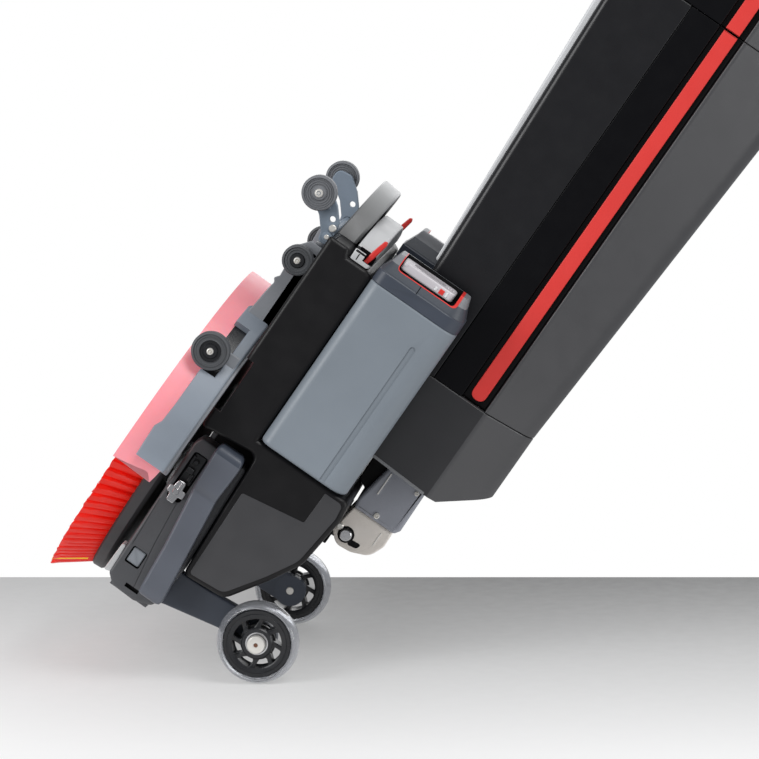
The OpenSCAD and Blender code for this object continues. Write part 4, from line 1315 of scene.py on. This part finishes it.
world = bpy.data.worlds.new("studio")
world.use_nodes = True
bpy.context.scene.world = world
nt = world.node_tree
surround = nt.nodes["Background"]
fill(surround, {"Color": (0.62, 0.63, 0.65, 1), "Strength": 0.55})
white = node(nt, "ShaderNodeBackground")
fill(white, {"Color": (1, 1, 1, 1)})
path = node(nt, "ShaderNodeLightPath")
seen = blended(nt, surround.outputs["Background"], white.outputs["Background"], path.outputs["Is Camera Ray"])
nt.links.new(seen, nt.nodes["World Output"].inputs["Surface"])

# The floor's far edge is level in the picture, FAR_LINE below its middle, in units of the distance.
FLOOR_POINT = Vector((0, -0.537, 0.235))
FLOOR_N = Vector((0, 0.8185, -0.5746)).normalized()
FAR_LINE = -0.0599
far_ray = up * FAR_LINE - back
FLOOR_U = FLOOR_N.cross(right.cross(far_ray)).normalized()
if FLOOR_U.dot(right) < 0:
    FLOOR_U = -FLOOR_U
FLOOR_V = FLOOR_N.cross(FLOOR_U).normalized()
if FLOOR_V.dot(back) > 0:
    FLOOR_V = -FLOOR_V
FAR_POINT = EYE + far_ray * ((FLOOR_POINT - EYE).dot(FLOOR_N) / far_ray.dot(FLOOR_N))
CARD_HALF, CARD_DEPTH = 0.46, 0.88
FAR_GREY, NEAR_GREY = (0.26, 0.26, 0.26, 1), (0.86, 0.86, 0.86, 1)


def floor_paper(upper_is_front):
    """Pale paper with a painted falloff of light, darker at the far edge, and a painted pool of light on its
    left; partly self-lit, and clear from below.
    """
    m, nt, b = shader("floor_paper")
    fill(b, {"Roughness": 0.7})
    coords = node(nt, "ShaderNodeTexCoord").outputs["Object"]
    split = node(nt, "ShaderNodeSeparateXYZ")
    nt.links.new(coords, split.inputs["Vector"])
    # painted falloff of light: grey at the far edge, pale near the camera
    ramp = node(nt, "ShaderNodeValToRGB")
    nt.links.new(ranged(nt, split.outputs["Y"], 1, 0, -0.82, 0), ramp.inputs["Fac"])
    ramp.color_ramp.elements[0].color = FAR_GREY
    ramp.color_ramp.elements[1].color = NEAR_GREY
    grain = ranged(nt, noise(nt, coords, 60, 4.0), 0.0, 0.04)
    # painted light: the floor lightened towards its left
    left = ranged(nt, split.outputs["X"], 0.34, 0.0, -0.3, 0.02)
    tone = mixed(nt, grain, mixed(nt, left, ramp.outputs["Color"], (1, 1, 1, 1)), (1, 1, 1, 1))
    nt.links.new(tone, b.inputs["Base Color"])
    haze = node(nt, "ShaderNodeEmission")
    nt.links.new(tone, haze.inputs["Color"])
    fill(haze, {"Strength": 1.12})
    paper = blended(nt, b.outputs["BSDF"], haze.outputs["Emission"], 0.5)
    clear = node(nt, "ShaderNodeBsdfTransparent").outputs["BSDF"]
    below = node(nt, "ShaderNodeNewGeometry").outputs["Backfacing"]
    both = blended(nt, paper, clear, below) if upper_is_front else blended(nt, clear, paper, below)
    nt.links.new(both, nt.nodes["Material Output"].inputs["Surface"])
    return m


def floor_card():
    """The studio floor that the tipped machine stands on: a pale card, seen only from its upper side."""
    bm = bmesh.new()
    for u, v in ((-CARD_HALF, -CARD_DEPTH), (CARD_HALF, -CARD_DEPTH), (CARD_HALF, 0), (-CARD_HALF, 0)):
        bm.verts.new((u, v, 0))
    bm.faces.new(bm.verts)
    o = meshed("floor_card", bm)
    normal = FLOOR_U.cross(FLOOR_V)
    o.matrix_world = facing(FAR_POINT, FLOOR_U, FLOOR_V, normal)
    o.data.materials.append(floor_paper(normal.dot(FLOOR_N) > 0))


floor_card()
bpy.context.scene.view_settings.view_transform = "Standard"
